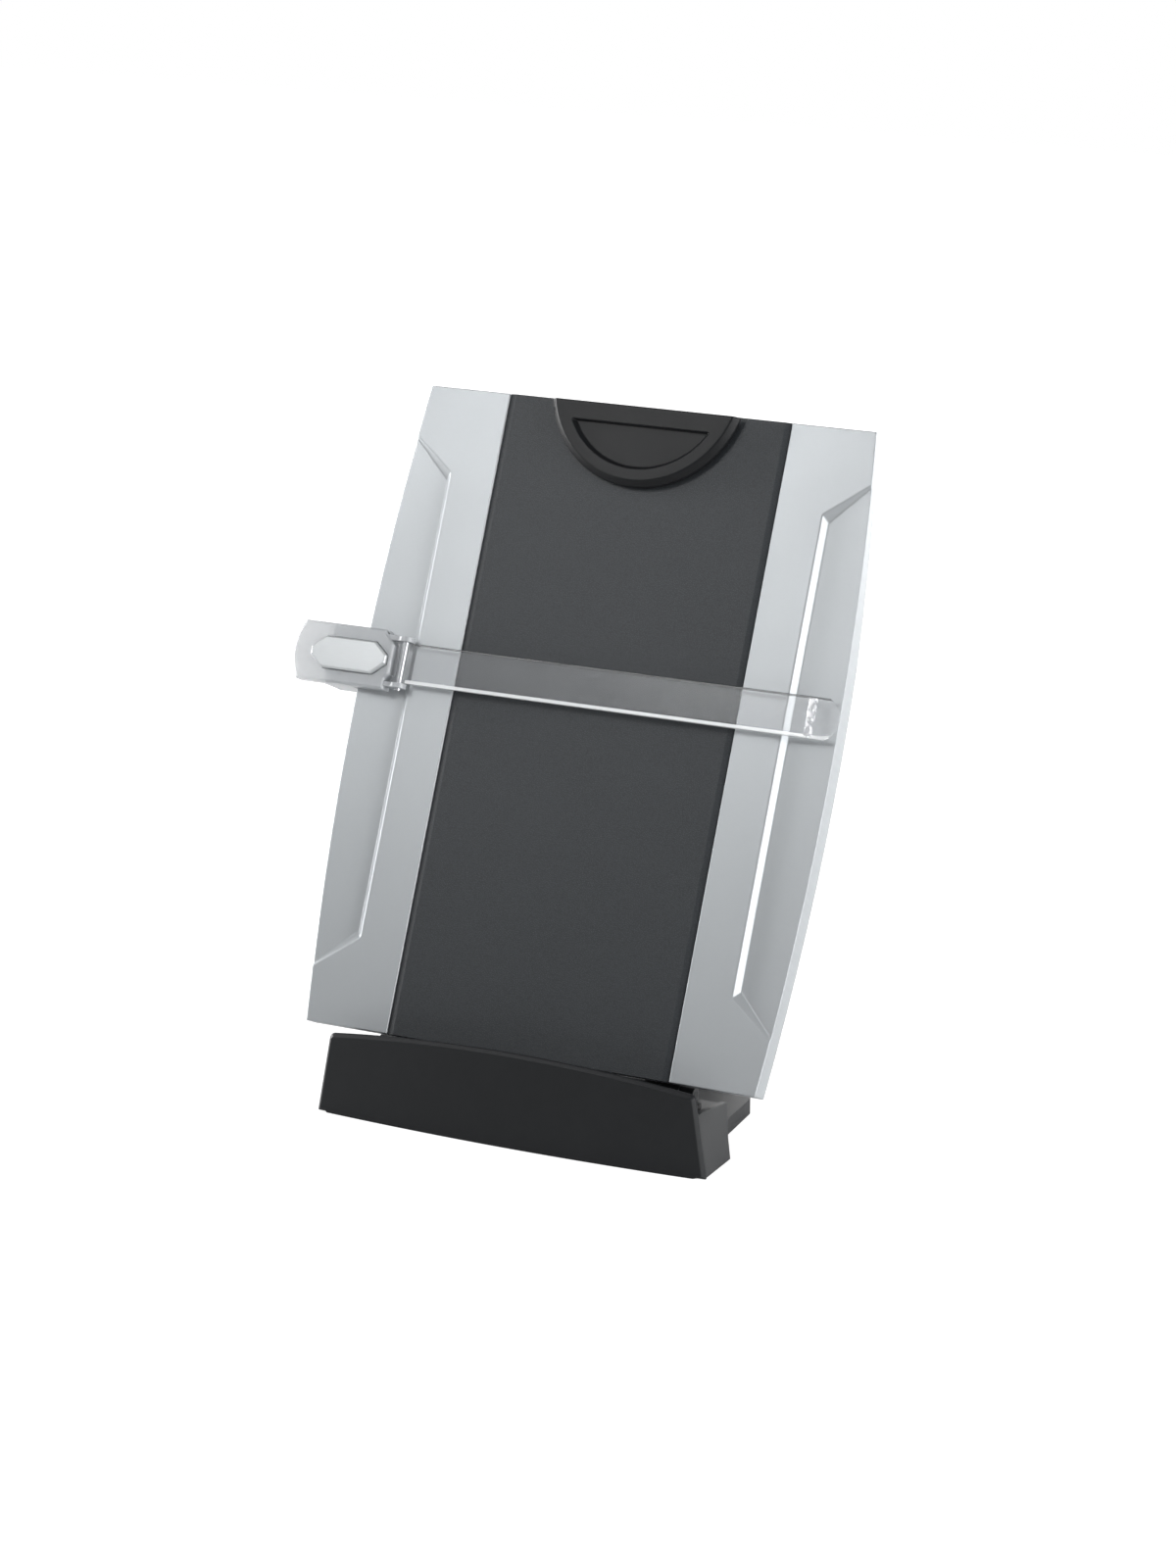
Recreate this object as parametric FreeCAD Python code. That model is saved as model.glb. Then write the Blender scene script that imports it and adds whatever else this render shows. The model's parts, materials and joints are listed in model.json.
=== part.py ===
import FreeCAD, Part
import math
import os

# Copy holder with a sliding line guide, in millimetres. X runs to the reader's right,
# Y away from the reader and Z up. The origin lies on the desk, below the board's front edge.

os.makedirs("parts", exist_ok=True)
V = FreeCAD.Vector

# How far a cutting shape runs past what it cuts, and how close two lengths are to count as equal
cut_spare = 1.0
same = 0.01

# Board: a flat panel that leans back, narrower at both ends than in the middle
board_lean = 25.0
board_foot_z = 39.35
board_length = 333.0
board_bottom_width = 249.9
board_top_width = 248.0
board_side_bulge = 8.5
board_depth = 12.0
board_top_depth = 4.2
taper_length = 118.0
rim_wall = 2.2
front_wall = 3.4
cover_thickness = 2.0
cover_top_margin = 33.0
side_cover_top_margin = 65.0
side_roof_margin = 7.0
shell_fit = 0.15
cover_screw_low = 40.0
cover_screw_high_margin = 45.0
cover_screw_x = 60.0
post_roof = 0.8

# Centre panel
panel_half_width = 78.5
panel_thickness = 1.8
panel_bevel = 3.5
panel_bevel_drop = 0.8

# Recesses in the silver sides
recess_width = 28.2
recess_edge = 0.15
recess_low = 47.6
recess_top_margin = 45.8
recess_depth = 3.3
recess_wall_slope = 1.5
recess_end_run = 18.9
recess_end_rise = 14.2
recess_end_spread = 1.2
recess_floor_wall = 2.4

# Tilt hinge between base and board
tilt_y = 12.0
tilt_z = 30.0
tilt_pin_radius = 2.0
knuckle_radius = 4.1
knuckle_inset = 40.9
knuckle_width = 19.8
lug_width = 7.0
inner_lug_width = 23.0
washer_thickness = 0.9
washer_inset = 0.2
hinge_gap = 1.0
pin_fit = 0.04
arm_reach = 14.0
arm_tip_reach = 3.0
arm_step_s = 2.6
arm_step_h = 0.2
arm_root = 0.5
arm_root_depth = 2.2
arm_nose_s = 0.6
arm_nose_h = 2.0

# Easel leg
leg_hinge_margin = 43.0
leg_hinge_depth = 4.0
leg_open = 35.0
leg_width = 56.0
leg_thickness = 6.0
leg_neck_width = 40.0
leg_hub_radius = 4.6
leg_pin_radius = 2.0
leg_lug_width = 6.0
leg_side_gap = 0.4
leg_pad_height = 3.0
leg_window_width = 26.0
leg_window_margin = 60.0
leg_window_corner = 8.0
leg_neck_length = 30.0
leg_taper_end = 70.0
leg_foot_spare = 4.0
leg_lug_reach = 8.0
leg_lug_root = 0.6
leg_lug_rise = 0.4
leg_well_gap = 5.0

# Clip at the top edge
clip_radius = 54.0
clip_centre_above = 12.0
clip_top_margin = 1.0
clip_thickness = 7.0
clip_rim_bevel = 3.0
clip_back_gap = 1.0
clip_pin_margin = 6.5
clip_pin_h = 3.6
clip_pin_radius = 1.25
clip_pin_half = 40.0
clip_open = 22.0
clip_swing_room = 4.0
ear_x = 28.0
ear_width = 5.0
ear_radius = 2.7
ear_foot = 2.4
ear_slot_side = 0.3
ear_slot_reach = 0.4
pocket_top_margin = 10.7
pocket_radius = 44.0
pocket_draft = 1.2
pocket_low_margin = 33.0
pocket_depth = 2.6
spring_room_half = 6.0
spring_room_reach = 5.2
spring_room_radius = 2.9
spring_room_over = 0.3
clip_spring_wire = 0.8
clip_spring_turns = 9
clip_spring_pitch = 1.0
clip_spring_fit = 0.15
relief_offset = 0.4
jaw_margin = 39.4
jaw_seat = 1.0
jaw_width = 3.2
jaw_half = 13.0
jaw_gap = 0.2

# Line guide
guide_s = 187.3
guide_blade_height = 20.8
blade_thickness = 2.0
blade_bead = 3.4
blade_bead_height = 2.2
blade_overhang = 1.05
blade_corner_share = 0.62
hinge_offset = 5.0
hinge_h = 5.0
barrel_radius = 4.3
barrel_pin_radius = 1.6
barrel_ear = 2.6
barrel_gap = 0.3
barrel_ear_inset = 0.2
barrel_room = 0.4
ear_arm_length = 6.0
ear_arm_low = 0.4
ear_arm_high = 2.6
guide_pin_head = 1.2
nub_inset = 14.3
nub_width = 4.0
nub_height = 3.2
nub_end = 1.0
nub_round = 1.4

# Guide slider
slider_overhang = 35.85
slider_bow = 4.1
slider_overlap = 19.05
slider_low = -15.3
slider_high = 15.7
slider_face_h = 8.5
slider_back_h = 0.5
slider_edge_bevel = 1.2
slider_nose = 2.0
slider_nose_low = 7.0
slider_nose_high = 8.0
slider_nose_chamfer = 2.0
slider_corner_chamfer = 4.0
edge_wall_gap = 1.35
edge_wall_width = 17.2
slider_rear_thickness = 3.6
slider_rear_overlap = 24.85
slider_screw_inset = 9.0
slider_screw_sink = 4.0
slider_screw_pitch = 14.0
slider_screw_radius = 1.4

# Release button in the slider
button_inset = 11.3
button_length = 43.4
button_half_height = 8.3
button_tip_run = 7.5
button_tip_half = 2.2
button_top_h = 10.9
button_stem_base_h = 4.9
button_flange_h = 3.5
button_flange_extra = 1.2
button_fit = 0.3
button_travel = 1.5
button_roof_h = 5.0
button_crown = 0.8
button_tip_share = 0.4
liner_thickness = 1.3
liner_fit = 0.2
spring_radius = 2.2
spring_wire = 0.6
spring_pitch = 1.3
button_bore_radius = 3.1
button_bore_top_h = 7.2

# Rail on the board's back that steers the slider
rail_inset = 17.45
rail_width = 6.0
rail_low = 40.0
rail_top_margin = 29.0
rail_height = 2.0
rail_clearance = 0.25
rail_play = 0.4
rail_lip = 2.3
rail_lip_height = 2.0

# Base
base_low_half = 108.0
base_high_half = 101.0
base_high_z = 41.8
base_rim_z = 0.8
lip_rim_z = 0.2
lip_front_y = -20.5
lip_bow = 4.5
lip_wall = 3.0
lip_lean = 0.045
lip_crown_z = 49.2
lip_corner = 3.5
cap_thickness = 3.0
block_top_z = 30.0
block_top_rear_z = 27.0
block_crest_y = -12.0
block_rear_y = 15.3
block_notch_y = 11.0
block_notch_z = 11.0
block_foot_y = 10.0
plate_top_z = 9.2
plate_rear_y = 74.0
plate_side_inset = 12.0
plate_taper = 5.0
plate_corner = 5.0
base_wall = 2.4
well_front_y = 1.5
well_floor_z = 18.5
notch_front_y = 16.0
ledge_thickness = 2.0
ledge_rib = 0.8
ledge_rib_pitch = 3.0
ledge_front_y = -15.0
ledge_rear_y = -1.0
ledge_end_gap = 3.0
ledge_sink = 1.0
cap_crown_z = 32.0
cap_rear_rise = 1.0
pocket_gap = 1.2
tower_sink = 3.0
bottom_thickness = 1.6
screw_radius = 1.4
screw_head_radius = 2.7
screw_head_height = 1.2
boss_radius = 3.2
boss_sink = 4.0
base_screw_length = 5.2
base_screw_sink = 0.9
base_screw_gap = 0.1
front_screw_inset = 21.0
rear_screw_inset = 21.0
front_screw_y = -9.0
rear_screw_margin = 14.0
screw_head_fit = 0.1
cover_screw_gap = 0.35
strip_inset = 31.0
strip_half_depth = 5.0
strip_corner = 4.0
front_foot_half = 6.0
front_foot_inset = 8.0
front_foot_y = -16.0
front_foot_depth = 3.5
rear_foot_half = 12.0
rear_foot_depth = 8.0
rear_foot_y = 38.0

# Places that follow from the sizes above
board_side_x = max(board_bottom_width, board_top_width) / 2 + board_side_bulge
clear = 2 * board_length
tall_z = base_high_z + lip_crown_z
taper_start = board_length - taper_length
cover_end = board_length - cover_top_margin
side_cover_end = board_length - side_cover_top_margin
recess_outer_x = board_side_x - recess_edge
recess_wall_x = recess_outer_x - recess_width
recess_high = board_length - recess_top_margin
side_roof_x = recess_wall_x - side_roof_margin
knuckle_inner_x = base_high_half - knuckle_inset
knuckle_outer_x = knuckle_inner_x + knuckle_width
lug_inner_start = knuckle_inner_x - hinge_gap - inner_lug_width
lug_outer_start = knuckle_outer_x + hinge_gap
lug_outer_end = lug_outer_start + lug_width
leg_hinge_s = board_length - leg_hinge_margin
leg_hinge_h = -board_depth - leg_hinge_depth
clip_centre_s = board_length + clip_centre_above
clip_top_s = board_length - clip_top_margin
clip_pin_s = board_length - clip_pin_margin
pocket_top_s = board_length - pocket_top_margin
pocket_low_s = board_length - pocket_low_margin
jaw_s = board_length - jaw_margin
blade_end_x = board_side_x + blade_overhang
nub_x = blade_end_x - nub_inset
blade_low = guide_s - guide_blade_height / 2
blade_high = guide_s + guide_blade_height / 2
slider_left_x = -board_side_x - slider_overhang
slider_shoulder_x = slider_left_x + slider_bow
slider_right_x = -board_side_x + slider_overlap
slider_nose_x = slider_right_x + slider_nose
hinge_x = slider_nose_x + hinge_offset
edge_wall_inner_x = -board_side_x - edge_wall_gap
edge_wall_outer_x = edge_wall_inner_x - edge_wall_width
slider_rear_right_x = -board_side_x + slider_rear_overlap
slider_screw_x = edge_wall_outer_x + slider_screw_inset
button_left_x = slider_left_x + button_inset
button_right_x = button_left_x + button_length
button_middle_x = (button_left_x + button_right_x) / 2
flange_left_x = button_left_x + button_tip_run
flange_right_x = button_right_x - button_tip_run
rail_x = -board_side_x + rail_inset
rail_high = board_length - rail_top_margin
rail_h = -board_depth - rail_height
slider_rear_inner_h = rail_h - rail_play
slider_rear_h = slider_rear_inner_h - slider_rear_thickness
rail_lip_h = slider_rear_inner_h + rail_lip_height
block_front_y = 2 * lip_front_y
plate_front_half = base_low_half - plate_side_inset
plate_rear_half = plate_front_half - plate_taper
well_half = leg_width / 2 + leg_well_gap


def box(x0, x1, y0, y1, z0, z1):
    return Part.makeBox(x1 - x0, y1 - y0, z1 - z0, V(x0, y0, z0))


def rod(radius, start, end):
    along = end - start
    return Part.makeCylinder(radius, along.Length, start, along)


def prism(points, along):
    """A closed polygon swept straight along a vector."""
    wire = Part.makePolygon(points + [points[0]])
    return Part.Face(wire).extrude(along)


def flat(points, low, high):
    """A polygon in the first two axes, swept from low to high along the third."""
    return prism([V(a, b, low) for a, b in points], V(0, 0, high - low))


def across(points, x0, x1):
    """A polygon given by its second and third coordinates, swept along X."""
    return prism([V(x0, a, b) for a, b in points], V(x1 - x0, 0, 0))


def mirrored(shape):
    return shape.mirror(V(0, 0, 0), V(1, 0, 0))


def fuse(shapes):
    return shapes[0].multiFuse(shapes[1:]).removeSplitter()


def place_on_board(shape):
    """Turn a shape drawn as (x, up the board, out of the board) into the leaning board."""
    placed = shape.copy()
    placed.rotate(V(0, 0, 0), V(1, 0, 0), 90 - board_lean)
    placed.translate(V(0, 0, board_foot_z))
    return placed


def save(name, shape, on_board=False):
    placed = place_on_board(shape) if on_board else shape
    placed.exportStep("parts/" + name + ".step")


# Points of the base's hinge axis as the board sees them
tilt_s = tilt_y * math.sin(math.radians(board_lean)) + (tilt_z - board_foot_z) * math.cos(
    math.radians(board_lean)
)
tilt_h = -tilt_y * math.cos(math.radians(board_lean)) + (tilt_z - board_foot_z) * math.sin(
    math.radians(board_lean)
)


def board_outline(inset, low, high):
    """The board's plan shape, drawn in from its edge and swept between two heights."""
    bottom = board_bottom_width / 2 - inset
    top = board_top_width / 2 - inset
    middle = (board_bottom_width + board_top_width) / 4 + board_side_bulge - inset
    end = board_length - inset
    corners = [V(-bottom, inset, low), V(bottom, inset, low), V(top, end, low), V(-top, end, low)]
    edges = [
        Part.makeLine(corners[0], corners[1]),
        Part.Arc(corners[1], V(middle, board_length / 2, low), corners[2]).toShape(),
        Part.makeLine(corners[2], corners[3]),
        Part.Arc(corners[3], V(-middle, board_length / 2, low), corners[0]).toShape(),
    ]
    return Part.Face(Part.Wire(edges)).extrude(V(0, 0, high - low))


def back_at(s):
    """Depth of the board's back surface at a distance up the board."""
    if s <= taper_start:
        return -board_depth
    share = (s - taper_start) / (board_length - taper_start)
    return -board_depth + (board_depth - board_top_depth) * share


def side_band(inner, outer):
    """What lies between two offsets from the board's back surface, both measured outward."""
    stations = [-cut_spare, taper_start, board_length + cut_spare]
    lower = [(s, back_at(s) + inner) for s in stations]
    upper = [(s, back_at(s) + outer) for s in reversed(stations)]
    return across(lower + upper, -clear, clear)


cover_screw_high = cover_end - cover_screw_high_margin
screw_spots = [
    (x, s) for x in (-cover_screw_x, cover_screw_x)
    for s in (cover_screw_low, (cover_screw_low + cover_screw_high) / 2, cover_screw_high)
]


def cover_region(fit, low, high):
    """The opening in the board's back, less a fit all round."""
    whole = board_outline(rim_wall + fit, low, high)
    wide = whole.common(box(-clear, clear, 0, side_cover_end - fit, low, high))
    tall_half = side_roof_x - fit
    tall = whole.common(box(-tall_half, tall_half, 0, cover_end - fit, low, high))
    return wide.fuse(tall)


def recess_cut():
    """The tapering recess in the right side: deep at its straight wall, flush at the edge."""
    def ring(shift, height):
        inner = recess_wall_x - shift
        far = inner + recess_end_run * 2
        rise = recess_end_rise * 2
        spread = shift * recess_end_spread
        return Part.makePolygon([
            V(inner, recess_low - spread, height),
            V(far, recess_low - rise - spread, height),
            V(far, recess_high + rise + spread, height),
            V(inner, recess_high + spread, height),
            V(inner, recess_low - spread, height),
        ])

    walls = Part.makeLoft([ring(recess_wall_slope, 0.0), ring(-recess_wall_slope, -recess_depth)], True, True)
    cap = Part.Face(ring(recess_wall_slope, 0.0)).extrude(V(0, 0, cut_spare))
    foot_x = recess_wall_x + recess_wall_slope
    slope = recess_depth / (recess_outer_x - foot_x)
    start = recess_wall_x - recess_width
    finish = recess_outer_x + recess_width
    above = 2 * recess_depth
    floor = [
        V(start, -clear, -recess_depth - slope * (foot_x - start)),
        V(finish, -clear, slope * (finish - recess_outer_x)),
        V(finish, -clear, above),
        V(start, -clear, above),
    ]
    return walls.fuse(cap).common(prism(floor, V(0, 2 * clear, 0)))


def front_shell():
    body = board_outline(0, -board_depth, 0).common(side_band(0, board_depth + cut_spare))
    deep_roof = -recess_depth - recess_floor_wall
    hollow = cover_region(0, -board_depth - cut_spare, -front_wall)
    for side in (-1, 1):
        edge = box(side_roof_x, clear, -clear, clear, deep_roof, 0)
        hollow = hollow.cut(edge if side > 0 else mirrored(edge))
    body = body.cut(hollow)
    seat_half = panel_half_width + shell_fit
    seat = box(-seat_half, seat_half, -clear, clear, -panel_thickness, clear)
    cut = recess_cut()
    body = body.cut(seat).cut(cut).cut(mirrored(cut))
    posts = []
    for x, s in screw_spots:
        post = rod(boss_radius, V(x, s, -panel_thickness - post_roof), V(x, s, -board_depth))
        posts.append(post.cut(side_band(-board_depth, cover_thickness)))
    body = fuse([body] + posts)
    for x, s in screw_spots:
        body = body.cut(rod(screw_radius, V(x, s, -board_depth), V(x, s, -front_wall)))
    for x0 in ear_places:
        body = body.cut(ear_block(x0, 0))
    return body


ear_places = (-ear_x - ear_width, ear_x)


def ear_block(x0, grow):
    """The foot of one ear, let into the board's face."""
    reach = ear_radius + grow
    return box(x0 - grow, x0 + ear_width + grow, clip_pin_s - reach, clip_pin_s + reach, -ear_foot, clip_pin_h)


def clip_ears():
    """The two ears on the board that carry the clip's pin."""
    bore = rod(clip_pin_radius, V(-clear, clip_pin_s, clip_pin_h), V(clear, clip_pin_s, clip_pin_h))
    ears = []
    for x0 in ear_places:
        knob = rod(ear_radius, V(x0, clip_pin_s, clip_pin_h), V(x0 + ear_width, clip_pin_s, clip_pin_h))
        ears.append(ear_block(x0, 0).fuse(knob).cut(bore).removeSplitter())
    return Part.makeCompound(ears)


def centre_panel():
    half = panel_half_width
    flat_half = half - panel_bevel
    points = [
        V(-half, 0, -panel_thickness), V(half, 0, -panel_thickness), V(half, 0, -panel_bevel_drop),
        V(flat_half, 0, 0), V(-flat_half, 0, 0), V(-half, 0, -panel_bevel_drop),
    ]
    panel = prism(points, V(0, board_length, 0))
    for x0 in ear_places:
        panel = panel.cut(ear_block(x0, shell_fit))
    return panel


def leg_bore(radius):
    return rod(radius, V(-clear, leg_hinge_s, leg_hinge_h), V(clear, leg_hinge_s, leg_hinge_h))


def back_cover():
    cover = cover_region(shell_fit, -board_depth - cut_spare, 0).common(side_band(0, cover_thickness))
    pieces = [cover]
    arm = [
        (arm_reach, -board_depth + arm_root), (arm_step_s, -board_depth + arm_root),
        (arm_step_s, -board_depth - arm_step_h), (-arm_nose_s, tilt_h + arm_nose_h),
        (tilt_s, tilt_h), (tilt_s, tilt_h - knuckle_radius),
        (arm_tip_reach, tilt_h - knuckle_radius), (arm_reach, -board_depth - arm_root_depth),
    ]
    for side in (-1, 1):
        x0 = knuckle_inner_x if side > 0 else -knuckle_outer_x
        x1 = x0 + knuckle_width
        pieces.append(across(arm, x0, x1))
        pieces.append(rod(knuckle_radius, V(x0, tilt_s, tilt_h), V(x1, tilt_s, tilt_h)))
        lug0 = leg_neck_width / 2 + leg_side_gap
        if side < 0:
            lug0 = -lug0 - leg_lug_width
        root = back_at(leg_hinge_s - leg_lug_reach) + leg_lug_root
        lug = [
            (leg_hinge_s - leg_lug_reach, root), (leg_hinge_s + leg_lug_reach, root + leg_lug_rise),
            (leg_hinge_s + leg_hub_radius, leg_hinge_h), (leg_hinge_s - leg_hub_radius, leg_hinge_h),
        ]
        lug1 = lug0 + leg_lug_width
        hub = rod(leg_hub_radius, V(lug0, leg_hinge_s, leg_hinge_h), V(lug1, leg_hinge_s, leg_hinge_h))
        pieces += [across(lug, lug0, lug1), hub]
    cover = fuse(pieces)
    cover = cover.cut(rod(tilt_pin_radius + pin_fit, V(-clear, tilt_s, tilt_h), V(clear, tilt_s, tilt_h)))
    cover = cover.cut(leg_bore(leg_pin_radius))
    head = screw_head_radius + screw_head_fit
    for x, s in screw_spots:
        cover = cover.cut(rod(screw_radius, V(x, s, -clear), V(x, s, 0)))
        cover = cover.cut(rod(head, V(x, s, -clear), V(x, s, back_at(s) + screw_head_height)))
    return cover


def cover_screws():
    screws = []
    for x, s in screw_spots:
        head_top = V(x, s, back_at(s) + screw_head_height)
        head = rod(screw_head_radius, V(x, s, back_at(s) + cover_screw_gap), head_top)
        shank = rod(screw_radius, head_top, V(x, s, -front_wall))
        screws.append(head.fuse(shank).removeSplitter())
    return Part.makeCompound(screws)


def guide_rail():
    x0 = rail_x - rail_width / 2
    outline = [
        (rail_low, rail_h), (rail_high, rail_h), (rail_high, back_at(rail_high)),
        (taper_start, -board_depth), (rail_low, -board_depth),
    ]
    return across(outline, x0, x0 + rail_width)


lean = math.radians(board_lean)
leg_hinge_z = board_foot_z + leg_hinge_s * math.cos(lean) + leg_hinge_h * math.sin(lean)
leg_length = leg_hinge_z / math.cos(math.radians(leg_open - board_lean))


def open_leg(shape):
    """Swing a leg drawn flat along the board out to its standing angle."""
    opened = shape.copy()
    opened.rotate(V(0, leg_hinge_s, leg_hinge_h), V(1, 0, 0), leg_open)
    return opened


def desk_cut(height):
    """Everything lower than a height above the desk, in the board's own coordinates."""
    slab = box(-clear, clear, -clear, clear, -clear, height)
    slab.translate(V(0, 0, -board_foot_z))
    slab.rotate(V(0, 0, 0), V(1, 0, 0), -(90 - board_lean))
    return slab


def leg_blank():
    top = leg_hinge_s
    foot = leg_hinge_s - leg_length - leg_foot_spare
    neck = leg_neck_width / 2
    wide = leg_width / 2
    half = leg_thickness / 2
    outline = [(-neck, top), (-neck, top - leg_neck_length), (-wide, foot + leg_taper_end), (-wide, foot)]
    outline += [(-x, s) for x, s in reversed(outline)]
    return flat(outline, leg_hinge_h - half, leg_hinge_h + half)


def easel_leg():
    neck = leg_neck_width / 2
    hub = rod(leg_hub_radius, V(-neck, leg_hinge_s, leg_hinge_h), V(neck, leg_hinge_s, leg_hinge_h))
    leg = leg_blank().fuse(hub)
    foot = leg_hinge_s - leg_length
    half = leg_window_width / 2
    low = foot + leg_window_margin
    high = leg_hinge_s - leg_window_margin
    window = box(-half, half, low, high, leg_hinge_h - leg_thickness, leg_hinge_h + leg_thickness)
    upright = [e for e in window.Edges if abs(e.Length - 2 * leg_thickness) < same]
    leg = leg.cut(window.makeFillet(leg_window_corner, upright))
    leg = leg.cut(leg_bore(leg_pin_radius + pin_fit))
    return open_leg(leg.removeSplitter()).cut(desk_cut(leg_pad_height))


def leg_pad():
    pad = open_leg(leg_blank()).common(desk_cut(leg_pad_height))
    return pad.cut(desk_cut(0))


def leg_pin():
    end = leg_neck_width / 2 + leg_side_gap + leg_lug_width
    return rod(leg_pin_radius, V(-end, leg_hinge_s, leg_hinge_h), V(end, leg_hinge_s, leg_hinge_h))


def clip_disc(radius, low, high):
    disc = Part.makeCylinder(radius, high - low, V(0, clip_centre_s, low))
    return disc.common(box(-clear, clear, 0, clip_top_s, low, high))


def clip_lever():
    top = clip_thickness
    disc = clip_disc(clip_radius, clip_back_gap, top - clip_rim_bevel)
    cone = Part.makeCone(
        clip_radius, clip_radius - clip_rim_bevel, clip_rim_bevel, V(0, clip_centre_s, top - clip_rim_bevel)
    ).common(box(-clear, clear, 0, clip_top_s, top - clip_rim_bevel, top))
    lever = disc.fuse(cone)
    pocket_centre = pocket_low_s + pocket_radius
    pocket = Part.makeCone(
        pocket_radius - pocket_draft, pocket_radius, pocket_depth, V(0, pocket_centre, top - pocket_depth)
    ).common(box(-clear, clear, 0, pocket_top_s, top - pocket_depth, top))
    lever = lever.cut(pocket)
    rise = math.tan(math.radians(clip_open + clip_swing_room))
    relief_s = clip_pin_s + relief_offset
    past_top = board_length + clip_centre_above
    relief = [(relief_s, 0), (past_top, 0)]
    relief += [(past_top, clip_back_gap + rise * (past_top - relief_s)), (relief_s, clip_back_gap)]
    lever = lever.cut(across(relief, -clear, clear))
    for place in ear_places:
        x0 = place - ear_slot_side
        x1 = place + ear_width + ear_slot_side
        reach = ear_radius + ear_slot_reach
        slot = rod(reach, V(x0, clip_pin_s, clip_pin_h), V(x1, clip_pin_s, clip_pin_h))
        mouth = box(x0, x1, clip_pin_s - reach, clip_pin_s + reach, 0, clip_pin_h)
        swung = mouth.copy()
        swung.rotate(V(0, clip_pin_s, clip_pin_h), V(1, 0, 0), clip_open)
        lever = lever.cut(slot).cut(mouth).cut(swung)
    half = spring_room_half
    room_top = clip_pin_h + spring_room_over
    room = box(-half, half, clip_pin_s - spring_room_reach, clip_top_s + cut_spare, 0, room_top)
    coil_room = rod(spring_room_radius, V(-half, clip_pin_s, clip_pin_h), V(half, clip_pin_s, clip_pin_h))
    bore_start = V(clip_pin_half, clip_pin_s, clip_pin_h)
    bore = rod(clip_pin_radius + pin_fit, bore_start, V(-clear, clip_pin_s, clip_pin_h))
    lever = lever.cut(room).cut(coil_room).cut(bore)
    seat = box(-jaw_half, jaw_half, jaw_s, jaw_s + jaw_width, 0, clip_back_gap + jaw_seat)
    return lever.cut(seat).removeSplitter()


def jaw_pad():
    return box(-jaw_half, jaw_half, jaw_s, jaw_s + jaw_width, jaw_gap, clip_back_gap + jaw_seat)


def clip_pin():
    half = clip_pin_half
    return rod(clip_pin_radius, V(-half, clip_pin_s, clip_pin_h), V(half, clip_pin_s, clip_pin_h))


def coil(radius, wire, pitch, turns, base, along):
    """Round wire wound round a line, with its centre line at the given radius."""
    helix = Part.makeHelix(pitch, pitch * turns, radius)
    section = Part.Wire([Part.makeCircle(wire / 2, V(radius, 0, 0), V(0, 1, 0))])
    spring = Part.Wire(helix).makePipeShell([section], True, True)
    spring.Placement = FreeCAD.Placement(base, FreeCAD.Rotation(V(0, 0, 1), along))
    return spring


def clip_spring():
    start = V(-clip_spring_pitch * clip_spring_turns / 2, clip_pin_s, clip_pin_h)
    radius = clip_pin_radius + clip_spring_fit + clip_spring_wire / 2
    return coil(radius, clip_spring_wire, clip_spring_pitch, clip_spring_turns, start, V(1, 0, 0))


def slider_outline(inset, low, high):
    """The slider's plan shape: a bowed left end and a nose towards the blade."""
    base = guide_s
    left = slider_shoulder_x + inset
    right = slider_right_x - inset
    nose = slider_nose_x - inset
    bottom = base + slider_low + inset
    top = base + slider_high - inset
    start = V(left, top, low)
    points = [
        V(left, bottom, low), V(right, bottom, low),
        V(right, base - slider_nose_low - slider_nose_chamfer, low), V(nose, base - slider_nose_low, low),
        V(nose, base + slider_nose_high, low), V(right - slider_corner_chamfer, top, low), start,
    ]
    edges = [Part.makeLine(a, b) for a, b in zip(points, points[1:])]
    edges.append(Part.Arc(start, V(slider_left_x + inset, base, low), points[0]).toShape())
    return Part.Face(Part.Wire(edges)).extrude(V(0, 0, high - low))


def octagon(grow, low, high):
    left = button_left_x - grow
    right = button_right_x + grow
    half = button_half_height + grow
    tip = button_tip_half + grow * button_tip_share
    points = [
        (left, guide_s - tip), (left + button_tip_run, guide_s - half),
        (right - button_tip_run, guide_s - half), (right, guide_s - tip),
        (right, guide_s + tip), (right - button_tip_run, guide_s + half),
        (left + button_tip_run, guide_s + half), (left, guide_s + tip),
    ]
    return flat(points, low, high)


def flange_block(grow, low, high):
    reach = button_half_height + button_flange_extra + grow
    return box(flange_left_x - grow, flange_right_x + grow, guide_s - reach, guide_s + reach, low, high)


def slider_front():
    body = slider_outline(0, slider_back_h, slider_face_h - slider_edge_bevel)
    crown = Part.makeLoft([
        slider_outline(0, slider_face_h - slider_edge_bevel, slider_face_h).Faces[-2].OuterWire,
        slider_outline(slider_edge_bevel, slider_face_h, slider_face_h + cut_spare).Faces[-2].OuterWire,
    ], True, True)
    body = body.fuse(crown)
    ears = []
    ear_size = barrel_radius - barrel_ear_inset
    arm_x = slider_nose_x - ear_arm_length
    arm_h = hinge_h - barrel_radius + ear_arm_low
    for low, high in ear_spans():
        ears.append(rod(ear_size, V(hinge_x, low, hinge_h), V(hinge_x, high, hinge_h)))
        ears.append(box(arm_x, hinge_x, low, high, arm_h, hinge_h + ear_arm_high))
    body = fuse([body] + ears)
    body = body.cut(rod(barrel_pin_radius, V(hinge_x, 0, hinge_h), V(hinge_x, clear, hinge_h)))
    room_low = V(hinge_x, blade_low - barrel_gap, hinge_h)
    body = body.cut(rod(barrel_radius + barrel_room, room_low, V(hinge_x, blade_high + barrel_gap, hinge_h)))
    body = body.cut(octagon(button_fit, button_flange_h - button_travel, slider_face_h + cut_spare))
    return body.cut(flange_block(button_fit, 0, button_roof_h)).removeSplitter()


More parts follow.
